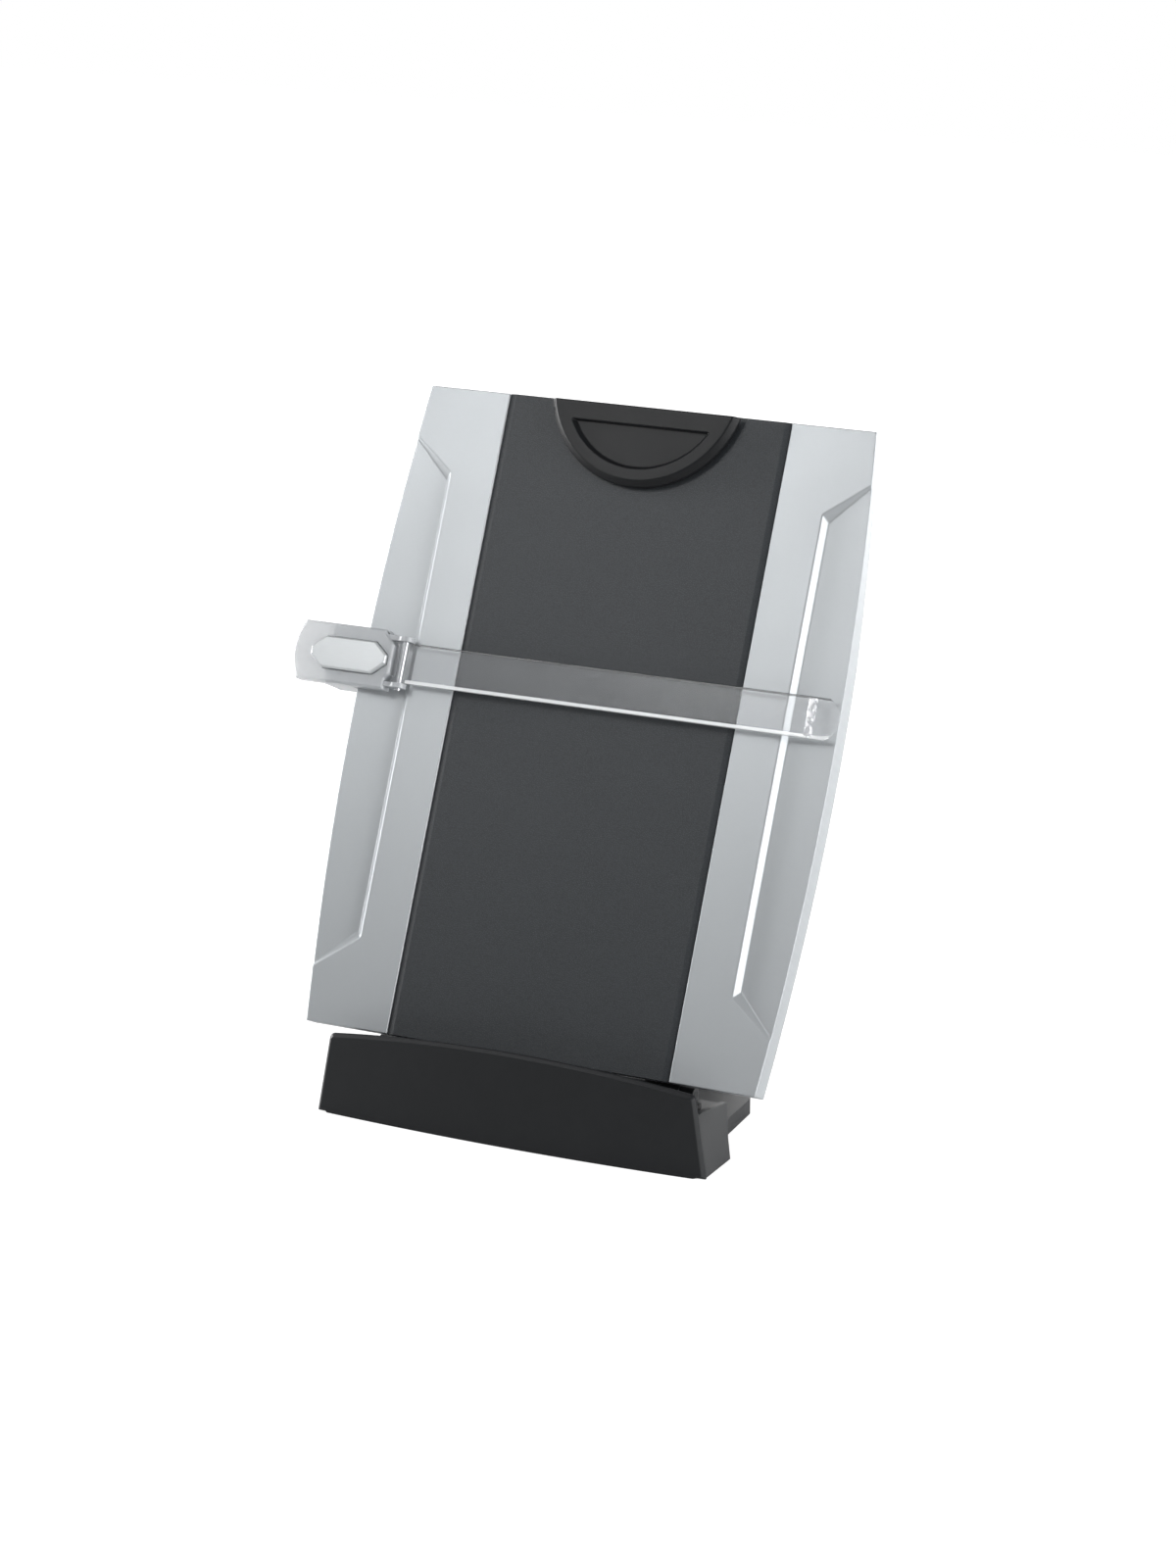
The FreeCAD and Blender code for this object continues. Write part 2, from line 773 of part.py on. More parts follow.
def ear_spans():
    """Lower and upper ear of the blade's hinge, along the board."""
    return [
        (blade_low - barrel_gap - barrel_ear, blade_low - barrel_gap),
        (blade_high + barrel_gap, blade_high + barrel_gap + barrel_ear),
    ]


def slider_liner():
    return flange_block(liner_fit, slider_back_h, slider_back_h + liner_thickness)


def slider_back():
    low = guide_s + slider_low
    high = guide_s + slider_high
    plate = box(edge_wall_outer_x, slider_rear_right_x, low, high, slider_rear_h, slider_rear_inner_h)
    wall = box(edge_wall_outer_x, edge_wall_inner_x, low, high, slider_rear_h, slider_back_h)
    pieces = [plate, wall]
    near = rail_width / 2 + rail_clearance
    for side in (-1, 1):
        x0 = rail_x + side * near
        x1 = x0 + side * rail_lip
        pieces.append(box(min(x0, x1), max(x0, x1), low, high, slider_rear_h, rail_lip_h))
    body = fuse(pieces)
    for offset in (-1, 1):
        s = guide_s + offset * slider_screw_pitch / 2
        start = V(slider_screw_x, s, -clear)
        body = body.cut(rod(slider_screw_radius, start, V(slider_screw_x, s, clear)))
        seat = V(slider_screw_x, s, slider_rear_h + slider_screw_sink)
        body = body.cut(rod(screw_head_radius + screw_head_fit, start, seat))
    return body


def slider_screws():
    screws = []
    for offset in (-1, 1):
        s = guide_s + offset * slider_screw_pitch / 2
        seat = V(slider_screw_x, s, slider_rear_h + slider_screw_sink)
        head = rod(screw_head_radius, seat - V(0, 0, screw_head_height), seat)
        shank = rod(slider_screw_radius, seat, V(slider_screw_x, s, slider_back_h))
        screws.append(head.fuse(shank).removeSplitter())
    return Part.makeCompound(screws)


def release_button():
    stem = octagon(0, button_stem_base_h, button_top_h - button_crown)
    crown = Part.makeLoft([
        octagon(0, button_top_h - button_crown, button_top_h).Faces[-2].OuterWire,
        octagon(-button_crown, button_top_h, button_top_h + cut_spare).Faces[-2].OuterWire,
    ], True, True)
    flange = flange_block(0, button_flange_h, button_stem_base_h)
    button = fuse([stem, crown, flange])
    bore_top = V(button_middle_x, guide_s, button_bore_top_h)
    return button.cut(rod(button_bore_radius, V(button_middle_x, guide_s, 0), bore_top))


def button_spring():
    base_h = slider_back_h + liner_thickness + spring_wire / 2
    turns = math.floor((button_bore_top_h - spring_wire - base_h) / spring_pitch)
    start = V(button_middle_x, guide_s, base_h)
    return coil(spring_radius, spring_wire, spring_pitch, turns, start, V(0, 0, 1))


def guide_blade():
    half = blade_thickness / 2
    end = blade_end_x - guide_blade_height / 2 * blade_corner_share
    under = hinge_h - half
    root_low = V(hinge_x, blade_low, under)
    root_high = V(hinge_x, blade_high, under)
    tip_low = V(end, blade_low, under)
    tip_high = V(end, blade_high, under)
    outline = [
        Part.makeLine(root_low, tip_low),
        Part.Arc(tip_low, V(blade_end_x, guide_s, under), tip_high).toShape(),
        Part.makeLine(tip_high, root_high),
        Part.makeLine(root_high, root_low),
    ]
    plate = Part.Face(Part.Wire(outline)).extrude(V(0, 0, blade_thickness))
    bead_half = blade_bead / 2
    bead_top = blade_low + blade_bead_height
    bead = box(hinge_x, nub_x, blade_low, bead_top, hinge_h - bead_half, hinge_h + bead_half)
    barrel = rod(barrel_radius, V(hinge_x, blade_low, hinge_h), V(hinge_x, blade_high, hinge_h))
    nub_side = nub_width / 2
    nub = box(
        nub_x - nub_side, nub_x + nub_side, blade_low + nub_end, blade_high - nub_end,
        hinge_h, hinge_h + half + nub_height,
    )
    nub = nub.makeFillet(nub_round, [e for e in nub.Edges if e.BoundBox.ZMin > hinge_h + half])
    blade = fuse([plate, bead, barrel, nub])
    return blade.cut(rod(barrel_pin_radius + pin_fit, V(hinge_x, 0, hinge_h), V(hinge_x, clear, hinge_h)))


def guide_pin():
    lower, upper = ear_spans()
    start = V(hinge_x, lower[0] - guide_pin_head, hinge_h)
    return rod(barrel_pin_radius, start, V(hinge_x, upper[1], hinge_h))


def plan_region(front_y, bow, rear_y, low, high):
    """What lies behind a bowed front line, leaning back a little as it rises."""
    reach = base_low_half + cap_thickness
    y_end = front_y + lip_lean * low
    y_bow = y_end - bow
    edges = [
        Part.Arc(V(-reach, y_end, low), V(0, y_bow, low), V(reach, y_end, low)).toShape(),
        Part.makeLine(V(reach, y_end, low), V(reach, rear_y, low)),
        Part.makeLine(V(reach, rear_y, low), V(-reach, rear_y, low)),
        Part.makeLine(V(-reach, rear_y, low), V(-reach, y_end, low)),
    ]
    tall = high - low
    return Part.Face(Part.Wire(edges)).extrude(V(0, lip_lean * tall, tall))


def end_x(z):
    """Half width of the base at a height: its ends lean inward."""
    return base_low_half - (base_low_half - base_high_half) * z / base_high_z


def ends_region(inset, top):
    low_half = end_x(0) - inset
    top_half = end_x(top) - inset
    points = [(-low_half, 0), (low_half, 0), (top_half, top), (-top_half, top)]
    return prism([V(x, -clear, z) for x, z in points], V(0, 2 * clear, 0))


block_profile = [
    (block_front_y, base_rim_z), (block_foot_y, base_rim_z), (block_notch_y, block_notch_z),
    (block_rear_y, block_top_rear_z), (block_crest_y, block_top_z), (block_front_y, block_top_z),
]


def front_lip():
    lip = plan_region(lip_front_y, lip_bow, 0, lip_rim_z, tall_z)
    lip = lip.cut(plan_region(lip_front_y + lip_wall, lip_bow, clear, 0, tall_z + cut_spare))
    left = V(-base_high_half, -clear, base_high_z)
    right = V(base_high_half, -clear, base_high_z)
    foot_left = V(-end_x(lip_rim_z), -clear, lip_rim_z)
    foot_right = V(end_x(lip_rim_z), -clear, lip_rim_z)
    edges = [
        Part.makeLine(foot_left, foot_right),
        Part.makeLine(foot_right, right),
        Part.Arc(right, V(0, -clear, lip_crown_z), left).toShape(),
        Part.makeLine(left, foot_left),
    ]
    window = Part.Face(Part.Wire(edges)).extrude(V(0, 2 * clear, 0))
    above = base_high_z - cut_spare
    corners = [e for e in window.Edges if e.BoundBox.YLength > clear and e.BoundBox.ZMin > above]
    return lip.common(window.makeFillet(lip_corner, corners))


def tray_front(inset, low, high):
    return plan_region(lip_front_y + lip_wall + inset, lip_bow, clear, low, high)


def rear_plate(inset, low, high):
    front = plate_front_half - inset
    rear = plate_rear_half - inset
    rear_y = plate_rear_y - inset
    plate = flat([(-front, 0), (front, 0), (rear, rear_y), (-rear, rear_y)], low, high)
    upright = [e for e in plate.Edges if e.BoundBox.ZLength > high - low - same]
    plate = plate.makeFillet(plate_corner - inset, [e for e in upright if e.BoundBox.YMin > rear_y / 2])
    notch = well_half + inset
    return plate.cut(box(-notch, notch, notch_front_y - inset, clear, -clear, clear))


front_screw_x = base_high_half - front_screw_inset
rear_screw_x = plate_rear_half - rear_screw_inset
rear_screw_y = plate_rear_y - rear_screw_margin
base_screw_spots = [
    (-front_screw_x, front_screw_y), (front_screw_x, front_screw_y),
    (-rear_screw_x, rear_screw_y), (rear_screw_x, rear_screw_y),
]


def base_body():
    block = across(block_profile, -clear, clear).common(ends_region(cap_thickness, tall_z))
    block = block.common(tray_front(0, base_rim_z, tall_z))
    plate = rear_plate(0, base_rim_z, plate_top_z)
    towers = []
    for start, width in ((lug_inner_start, inner_lug_width), (lug_outer_start, lug_width)):
        for side in (-1, 1):
            x0 = start if side > 0 else -start - width
            towers.append(rod(knuckle_radius, V(x0, tilt_y, tilt_z), V(x0 + width, tilt_y, tilt_z)))
            low_z = block_top_rear_z - tower_sink
            towers.append(box(x0, x0 + width, tilt_y - knuckle_radius, block_rear_y, low_z, tilt_z))
    body = fuse([block, plate] + towers)
    inner_half = end_x(block_top_z) - cap_thickness - base_wall
    hollow_y = block_foot_y - base_wall
    hollow = across([
        (block_front_y, 0), (hollow_y, 0), (hollow_y, block_top_rear_z - 2 * base_wall),
        (block_front_y, block_top_z - base_wall),
    ], -inner_half, inner_half)
    hollow = hollow.common(tray_front(base_wall, -cut_spare, tall_z))
    well = box(-well_half, well_half, well_front_y, clear, well_floor_z, tall_z)
    shield_half = well_half + base_wall
    shield = box(-shield_half, shield_half, well_front_y - base_wall, clear, well_floor_z - base_wall, tall_z)
    hollow = hollow.cut(shield)
    pockets = []
    for side in (-1, 1):
        x0 = knuckle_inner_x - hinge_gap if side > 0 else -knuckle_outer_x - hinge_gap
        x1 = x0 + knuckle_width + 2 * hinge_gap
        y0 = tilt_y - knuckle_radius - pocket_gap
        z0 = tilt_z - knuckle_radius - pocket_gap
        pockets.append(box(x0, x1, y0, clear, z0, tall_z))
        walls = box(x0 - base_wall, x1 + base_wall, y0 - base_wall, clear, z0 - base_wall, tall_z)
        hollow = hollow.cut(walls)
    plate_hollow = rear_plate(base_wall, -cut_spare, plate_top_z - base_wall)
    body = body.cut(hollow.fuse(plate_hollow))
    for pocket in pockets + [well]:
        body = body.cut(pocket)
    for x, y in base_screw_spots:
        top = plate_top_z - base_wall / 2 if y > front_screw_y else block_top_z - boss_sink
        post = rod(boss_radius, V(x, y, base_rim_z + bottom_thickness), V(x, y, top))
        body = body.fuse(post)
        body = body.cut(rod(screw_radius, V(x, y, 0), V(x, y, base_rim_z + base_screw_length)))
    bore = rod(tilt_pin_radius, V(-clear, tilt_y, tilt_z), V(clear, tilt_y, tilt_z))
    return body.cut(bore).removeSplitter()


def end_cap():
    """The right end cap; the left one is its mirror image."""
    profile = block_profile[:3] + [
        (block_rear_y, block_top_rear_z + cap_rear_rise),
        (block_crest_y, cap_crown_z), (block_front_y, cap_crown_z),
    ]
    cap = across(profile, 0, clear).common(ends_region(0, tall_z)).common(tray_front(0, base_rim_z, tall_z))
    return cap.cut(ends_region(cap_thickness, tall_z))


def bottom_plate():
    """Closes the base from below, inside its rim."""
    fit = base_wall + shell_fit
    half = end_x(block_top_z) - cap_thickness - fit
    top = base_rim_z + bottom_thickness
    front = box(-half, half, block_front_y, block_foot_y - fit, base_rim_z, top)
    front = front.common(tray_front(fit, -cut_spare, tall_z))
    plate = fuse([front, rear_plate(fit, base_rim_z, top)])
    for x, y in base_screw_spots:
        plate = plate.cut(rod(screw_radius, V(x, y, 0), V(x, y, clear)))
        head_top = V(x, y, base_rim_z + base_screw_gap + base_screw_sink)
        plate = plate.cut(rod(screw_head_radius + screw_head_fit, V(x, y, 0), head_top))
    return plate


def base_screws():
    screws = []
    for x, y in base_screw_spots:
        head_low = V(x, y, base_rim_z + base_screw_gap)
        head_top = head_low + V(0, 0, base_screw_sink)
        head = rod(screw_head_radius, head_low, head_top)
        shank = rod(screw_radius, head_top, V(x, y, base_rim_z + base_screw_length))
        screws.append(head.fuse(shank).removeSplitter())
    return Part.makeCompound(screws)


def desk_strip():
    half = plate_rear_half - strip_inset
    strip = box(-half, half, -strip_half_depth, strip_half_depth, 0, base_rim_z)
    return strip.makeFillet(strip_corner, [e for e in strip.Edges if e.BoundBox.ZLength > base_rim_z - same])


def rear_feet():
    feet = []
    front_x = end_x(block_top_z) - cap_thickness - base_wall - front_foot_inset
    spots = (
        (rear_screw_x, rear_foot_half, rear_foot_y, rear_foot_depth),
        (front_x, front_foot_half, front_foot_y, front_foot_depth),
    )
    for x, half, y, depth in spots:
        foot = box(x - half, x + half, y, y + depth, 0, base_rim_z)
        feet += [foot, mirrored(foot)]
    return Part.makeCompound(feet)


def paper_ledge():
    """Ribbed strip in the tray that a sheet's lower edge stands on."""
    half = end_x(block_top_z) - cap_thickness - ledge_end_gap
    top = block_top_z + ledge_thickness
    strip = box(-half, half, ledge_front_y, ledge_rear_y, block_top_z - ledge_sink, top)
    grooves = []
    y = ledge_front_y + ledge_rib_pitch / 2
    while y < ledge_rear_y - ledge_rib:
        grooves.append(box(-clear, clear, y, y + ledge_rib, top - ledge_rib, tall_z))
        y += ledge_rib_pitch
    strip = strip.cut(grooves[0].multiFuse(grooves[1:]))
    return strip.cut(across(block_profile, -clear, clear))


def tilt_pins():
    pins = []
    for side in (-1, 1):
        start = V(side * lug_inner_start, tilt_y, tilt_z)
        pins.append(rod(tilt_pin_radius, start, V(side * lug_outer_end, tilt_y, tilt_z)))
    return Part.makeCompound(pins)


def friction_washers():
    washers = []
    spare = (hinge_gap - washer_thickness) / 2
    for start in (knuckle_inner_x - hinge_gap + spare, knuckle_outer_x + spare):
        for side in (-1, 1):
            x0 = start if side > 0 else -start - washer_thickness
            x1 = x0 + washer_thickness
            disc = rod(knuckle_radius - washer_inset, V(x0, tilt_y, tilt_z), V(x1, tilt_y, tilt_z))
            hole = rod(tilt_pin_radius, V(-clear, tilt_y, tilt_z), V(clear, tilt_y, tilt_z))
            washers.append(disc.cut(hole))
    return Part.makeCompound(washers)


base_pieces = {
    "base_body": base_body,
    "front_lip": front_lip,
    "end_cap_right": end_cap,
    "end_cap_left": lambda: mirrored(end_cap()),
    "paper_ledge": paper_ledge,
    "bottom_plate": bottom_plate,
    "base_screws": base_screws,
    "desk_strip": desk_strip,
    "base_feet": rear_feet,
    "tilt_pins": tilt_pins,
    "friction_washers": friction_washers,
}
board_pieces = {
    "front_shell": front_shell,
    "centre_panel": centre_panel,
    "clip_ears": clip_ears,
    "back_cover": back_cover,
    "cover_screws": cover_screws,
    "guide_rail": guide_rail,
    "leg_pin": leg_pin,
    "easel_leg": easel_leg,
    "leg_pad": leg_pad,
    "clip_lever": clip_lever,
    "clip_jaw_pad": jaw_pad,
    "clip_pin": clip_pin,
    "clip_spring": clip_spring,
    "slider_front": slider_front,
    "slider_back": slider_back,
    "slider_liner": slider_liner,
    "slider_screws": slider_screws,
    "release_button": release_button,
    "button_spring": button_spring,
    "guide_blade": guide_blade,
    "guide_pin": guide_pin,
}

for name, build in base_pieces.items():
    save(name, build())
for name, build in board_pieces.items():
    save(name, build(), on_board=True)
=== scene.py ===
import json
import math

import bpy
from mathutils import Matrix, Vector


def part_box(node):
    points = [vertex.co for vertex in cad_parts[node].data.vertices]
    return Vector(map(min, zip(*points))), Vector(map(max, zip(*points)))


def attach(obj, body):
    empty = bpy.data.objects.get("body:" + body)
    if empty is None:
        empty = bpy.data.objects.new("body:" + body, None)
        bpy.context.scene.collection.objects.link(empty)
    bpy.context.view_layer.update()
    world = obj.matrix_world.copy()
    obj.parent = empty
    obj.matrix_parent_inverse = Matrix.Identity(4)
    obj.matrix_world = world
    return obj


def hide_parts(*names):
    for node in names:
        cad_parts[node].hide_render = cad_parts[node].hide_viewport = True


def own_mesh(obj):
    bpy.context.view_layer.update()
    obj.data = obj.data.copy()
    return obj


bl_info = {
    "name": "Copy Holder",
    "version": (1, 0, 0),
    "blender": (4, 5, 0),
    "location": "3D View > Sidebar > Copy Holder",
    "description": "Models the finish of a desk copy holder with a sliding line guide",
    "category": "Object",
}

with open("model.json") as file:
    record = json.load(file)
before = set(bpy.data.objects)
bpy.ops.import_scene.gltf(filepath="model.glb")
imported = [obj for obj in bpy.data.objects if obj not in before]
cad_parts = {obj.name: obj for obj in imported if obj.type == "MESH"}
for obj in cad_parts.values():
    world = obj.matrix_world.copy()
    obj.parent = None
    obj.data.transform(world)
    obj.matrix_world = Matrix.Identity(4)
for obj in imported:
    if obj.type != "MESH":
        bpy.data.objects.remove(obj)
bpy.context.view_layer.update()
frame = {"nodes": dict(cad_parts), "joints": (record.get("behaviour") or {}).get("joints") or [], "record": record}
JOINTS = {joint["name"]: joint for joint in frame["joints"]}
MM = 0.001

# Packed triangles are welded within this distance and joined where they are this flat
WELD_DISTANCE = 0.005 * MM
FLAT_ANGLE = math.radians(0.6)
# Edges sharper than this stay sharp, and over 50 the larger faces set the normals
SMOOTH_ANGLE = math.radians(44)
FACE_WEIGHT = 80


def board_matrix():
    """Turns (across, up the board, out of the board) into the shared frame."""
    up = Vector(JOINTS["guide_slide"]["axis"])
    out = -Vector(JOINTS["button_press"]["axis"])
    points = [vertex.co for vertex in frame["nodes"]["centre_panel"].data.vertices]
    foot = up * min(point.dot(up) for point in points) + out * max(point.dot(out) for point in points)
    matrix = Matrix.Identity(4)
    for column, axis in enumerate((Vector((1, 0, 0)), up, out)):
        for row in range(3):
            matrix[row][column] = axis[row]
    matrix.translation = foot
    return matrix


BOARD = board_matrix()
FROM_WORLD = BOARD.inverted()


def board_box(node):
    """A node's lowest and highest corners measured along the board."""
    points = [FROM_WORLD @ vertex.co for vertex in frame["nodes"][node].data.vertices]
    low = Vector([min(point[axis] for point in points) for axis in range(3)])
    high = Vector([max(point[axis] for point in points) for axis in range(3)])
    return low, high


class CopyHolderSizes(bpy.types.PropertyGroup):
    """Sizes that shape the visible mouldings."""

    edge_radius: bpy.props.FloatProperty(
        name="Edge radius", description="Rounding of the silver frame's edges",
        default=0.6 * MM, unit="LENGTH",
    )
    small_radius: bpy.props.FloatProperty(
        name="Small radius", description="Rounding of thin and small mouldings",
        default=0.3 * MM, unit="LENGTH",
    )
    panel_bevel: bpy.props.FloatProperty(
        name="Panel bevel", description="Width of the sloping strip along the panel",
        default=3.5 * MM, unit="LENGTH",
    )
    panel_drop: bpy.props.FloatProperty(
        name="Panel drop", description="How far the sloping strip falls", default=0.8 * MM, unit="LENGTH"
    )
    lip_top_half: bpy.props.FloatProperty(
        name="Lip top half width", description="Half width of the lip's top edge",
        default=101.0 * MM, unit="LENGTH",
    )
    lip_end_height: bpy.props.FloatProperty(
        name="Lip end height", description="Height of the lip at its two ends",
        default=41.8 * MM, unit="LENGTH",
    )
    lip_wall: bpy.props.FloatProperty(
        name="Lip wall", description="Thickness of the lip", default=3.0 * MM, unit="LENGTH"
    )
    lip_bow: bpy.props.FloatProperty(
        name="Lip bow", description="How far the lip's middle stands forward",
        default=4.3 * MM, unit="LENGTH",
    )
    lip_lean: bpy.props.FloatProperty(
        name="Lip lean", description="How far the lip leans back for each unit of height", default=0.045
    )
    lip_corner: bpy.props.FloatProperty(
        name="Lip corner", description="Radius of the lip's upper corners", default=2.2 * MM, unit="LENGTH"
    )
    lip_chamfer: bpy.props.FloatProperty(
        name="Lip chamfer", description="Chamfer along the lip's front rim", default=1.6 * MM, unit="LENGTH"
    )
    button_tip_run: bpy.props.FloatProperty(
        name="Button tip", description="Length of the button's pointed ends", default=7.5 * MM, unit="LENGTH"
    )
    button_tip_half: bpy.props.FloatProperty(
        name="Button tip half width", description="Half width of the button's ends",
        default=2.2 * MM, unit="LENGTH",
    )
    button_half: bpy.props.FloatProperty(
        name="Button half height", description="Half height of the button", default=8.3 * MM, unit="LENGTH"
    )
    button_crown: bpy.props.FloatProperty(
        name="Button crown", description="Chamfer round the button's face", default=0.8 * MM, unit="LENGTH"
    )
    # The dark line along the blade's top is a band of painted shade in its material
    blade_shade: bpy.props.FloatProperty(
        name="Blade edge", description="Width of the dark line along the blade's top",
        default=0.9 * MM, unit="LENGTH",
    )
    # The bright bead along the blade's bottom is a band of painted highlight in its material
    blade_highlight: bpy.props.FloatProperty(
        name="Blade bead", description="Height of the bright bead along the blade",
        default=1.7 * MM, unit="LENGTH",
    )


class CopyHolderFinish(bpy.types.PropertyGroup):
    """Colours and textures of the visible mouldings."""

    silver: bpy.props.FloatVectorProperty(
        name="Silver", description="Paint of the frame",
        default=(0.412, 0.433, 0.448), subtype="COLOR", size=3,
    )
    panel: bpy.props.FloatVectorProperty(
        name="Panel", description="Grained centre panel",
        default=(0.027, 0.031, 0.035), subtype="COLOR", size=3,
    )
    black: bpy.props.FloatVectorProperty(
        name="Black", description="Moulded base and back",
        default=(0.0125, 0.0135, 0.0150), subtype="COLOR", size=3,
    )
    button: bpy.props.FloatVectorProperty(
        name="Button", description="Silver release button",
        default=(0.52, 0.54, 0.55), subtype="COLOR", size=3,
    )
    frosted: bpy.props.FloatVectorProperty(
        name="Frosted", description="Frosted slider", default=(0.49, 0.51, 0.53), subtype="COLOR", size=3
    )
    grain_size: bpy.props.FloatProperty(
        name="Grain size", description="Size of one pebble of the panel's grain",
        default=0.9 * MM, unit="LENGTH",
    )


def select_only(piece):
    bpy.ops.object.select_all(action="DESELECT")
    piece.select_set(True)
    bpy.context.view_layer.objects.active = piece


def edit_select(piece, kind, test):
    """Enters edit mode with only the vertices, edges or faces that pass a test selected."""
    if bpy.context.mode == "EDIT_MESH":
        bpy.ops.object.mode_set(mode="OBJECT")
    select_only(piece)
    bpy.ops.object.mode_set(mode="EDIT")
    bpy.ops.mesh.select_mode(type=kind)
    bpy.ops.mesh.select_all(action="DESELECT")
    bpy.ops.object.mode_set(mode="OBJECT")
    mesh = piece.data
    items = {"VERT": mesh.vertices, "EDGE": mesh.edges, "FACE": mesh.polygons}[kind]
    for item in items:
        if kind == "VERT":
            chosen = test(item.co)
        elif kind == "EDGE":
            chosen = test(mesh.vertices[item.vertices[0]].co, mesh.vertices[item.vertices[1]].co)
        else:
            chosen = test(item.center, item.normal)
        item.select = chosen
    bpy.ops.object.mode_set(mode="EDIT")


def leave_edit():
    bpy.ops.object.mode_set(mode="OBJECT")


def block(name, low, high):
    """A box primitive between two corners."""
    bpy.ops.object.select_all(action="DESELECT")
    bpy.ops.mesh.primitive_cube_add(size=1, location=(low + high) / 2, scale=high - low)
    piece = bpy.context.object
    piece.name = name
    bpy.ops.object.transform_apply(location=True, rotation=True, scale=True)
    return piece


def modify(piece, kind, **settings):
    """Adds a modifier, sets it and applies it."""
    select_only(piece)
    bpy.ops.object.modifier_add(type=kind)
    modifier = piece.modifiers[-1]
    for key, value in settings.items():
        setattr(modifier, key, value)
    bpy.ops.object.modifier_apply(modifier=modifier.name)


def round_edges(piece, radius, segments=3, angle=32):
    modify(
        piece, "BEVEL", width=radius, segments=segments, limit_method="ANGLE",
        angle_limit=math.radians(angle), use_clamp_overlap=False, miter_outer="MITER_ARC",
    )
    select_only(piece)
    bpy.ops.object.shade_smooth_by_angle(angle=SMOOTH_ANGLE)
    modify(piece, "WEIGHTED_NORMAL", keep_sharp=True, weight=FACE_WEIGHT)


def moulded_copy(node, name, radius, segments=3, holed=False):
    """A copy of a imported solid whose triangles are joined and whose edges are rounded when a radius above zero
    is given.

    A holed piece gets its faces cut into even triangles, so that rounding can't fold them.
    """
    piece = bpy.data.objects.new(name, frame["nodes"][node].data.copy())
    bpy.context.scene.collection.objects.link(piece)
    piece.data.materials.clear()
    select_only(piece)
    bpy.ops.object.mode_set(mode="EDIT")
    bpy.ops.mesh.select_all(action="SELECT")
    bpy.ops.mesh.remove_doubles(threshold=WELD_DISTANCE)
    bpy.ops.mesh.dissolve_limited(angle_limit=FLAT_ANGLE)
    if holed:
        bpy.ops.mesh.quads_convert_to_tris(quad_method="BEAUTY", ngon_method="BEAUTY")
    leave_edit()
    if radius > 0:
        round_edges(piece, radius, segments)
    return piece


def place_on_board(piece):
    """Turns a piece drawn flat into the leaning board, with its place in its mesh."""
    select_only(piece)
    piece.matrix_world = BOARD @ piece.matrix_world
    bpy.ops.object.transform_apply(location=True, rotation=True, scale=True)


def seat(piece, node, material):
    """Puts a finished piece in a node's stead, on the node's own body."""
    piece.data.materials.clear()
    piece.data.materials.append(material)
    body = next(name for name, members in frame["record"]["behaviour"]["bodies"].items() if node in members)
    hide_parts(node)
    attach(piece, body)


def coat(nodes, material):
    """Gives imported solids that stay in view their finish."""
    for node in nodes:
        mesh = frame["nodes"][node].data
        mesh.materials.clear()
        mesh.materials.append(material)


class Value:
    """A shader value that is written in plain arithmetic."""

    def __init__(self, paint, socket):
        self.paint = paint
        self.socket = socket

    def math(self, operation, first, second):
        return self.paint.add("ShaderNodeMath", {0: first, 1: second}, operation=operation)

    def __add__(self, other):
        return self.math("ADD", self, other)

    def __radd__(self, other):
        return self.math("ADD", other, self)

    def __sub__(self, other):
        return self.math("SUBTRACT", self, other)

    def __mul__(self, other):
        return self.math("MULTIPLY", self, other)


class Paint:
    """One material's nodes."""

    def __init__(self, name):
        self.material = bpy.data.materials.new(name)
        self.material.use_nodes = True
        self.tree = self.material.node_tree
        self.tree.nodes.clear()

    def add(self, kind, sockets=None, output=0, stops=None, **settings):
        """Adds a node: its settings first, then the values or links of its sockets."""
        node = self.tree.nodes.new(kind)
        for key, value in settings.items():
            setattr(node, key, value)
        if stops:
            ramp = node.color_ramp.elements
            for element, (place, grey) in zip(ramp, stops):
                element.position = place
                element.color = (grey, grey, grey, 1)
        for key, value in (sockets or {}).items():
            if isinstance(value, Value):
                self.tree.links.new(value.socket, node.inputs[key])
            else:
                node.inputs[key].default_value = value
        return Value(self, node.outputs[output])

    def place(self):
        """Object coordinates, the fourth output of the node."""
        return self.add("ShaderNodeTexCoord", output=3)

    def noise(self, size, detail=3.0, roughness=0.5, stretch=None):
        """Noise with features of about a size in metres."""
        spot = self.place()
        if stretch:
            spot = self.add("ShaderNodeMapping", {"Vector": spot, "Scale": stretch})
        return self.add(
            "ShaderNodeTexNoise",
            {"Vector": spot, "Scale": 1 / size, "Detail": detail, "Roughness": roughness},
        )

    def ramp(self, value, low, high):
        """Black up to the low value and white from the high one."""
        return self.add("ShaderNodeValToRGB", {0: value}, stops=[(low, 0.0), (high, 1.0)])

    def mix(self, factor, first, second):
        return self.add("ShaderNodeMix", {0: factor, 6: first, 7: second}, output=2, data_type="RGBA")

    def bump(self, height, distance, strength):
        return self.add("ShaderNodeBump", {"Height": height, "Distance": distance, "Strength": strength})

    def principled(self, **sockets):
        named = {key.replace("_", " "): value for key, value in sockets.items()}
        shader = self.add("ShaderNodeBsdfPrincipled", named)
        self.add_output(shader)
        return self.material

    def add_output(self, shader):
        node = self.tree.nodes.new("ShaderNodeOutputMaterial")
        self.tree.links.new(shader.socket, node.inputs["Surface"])


def shade(colour, factor):
    return tuple(min(1.0, part * factor) for part in colour) + (1.0,)


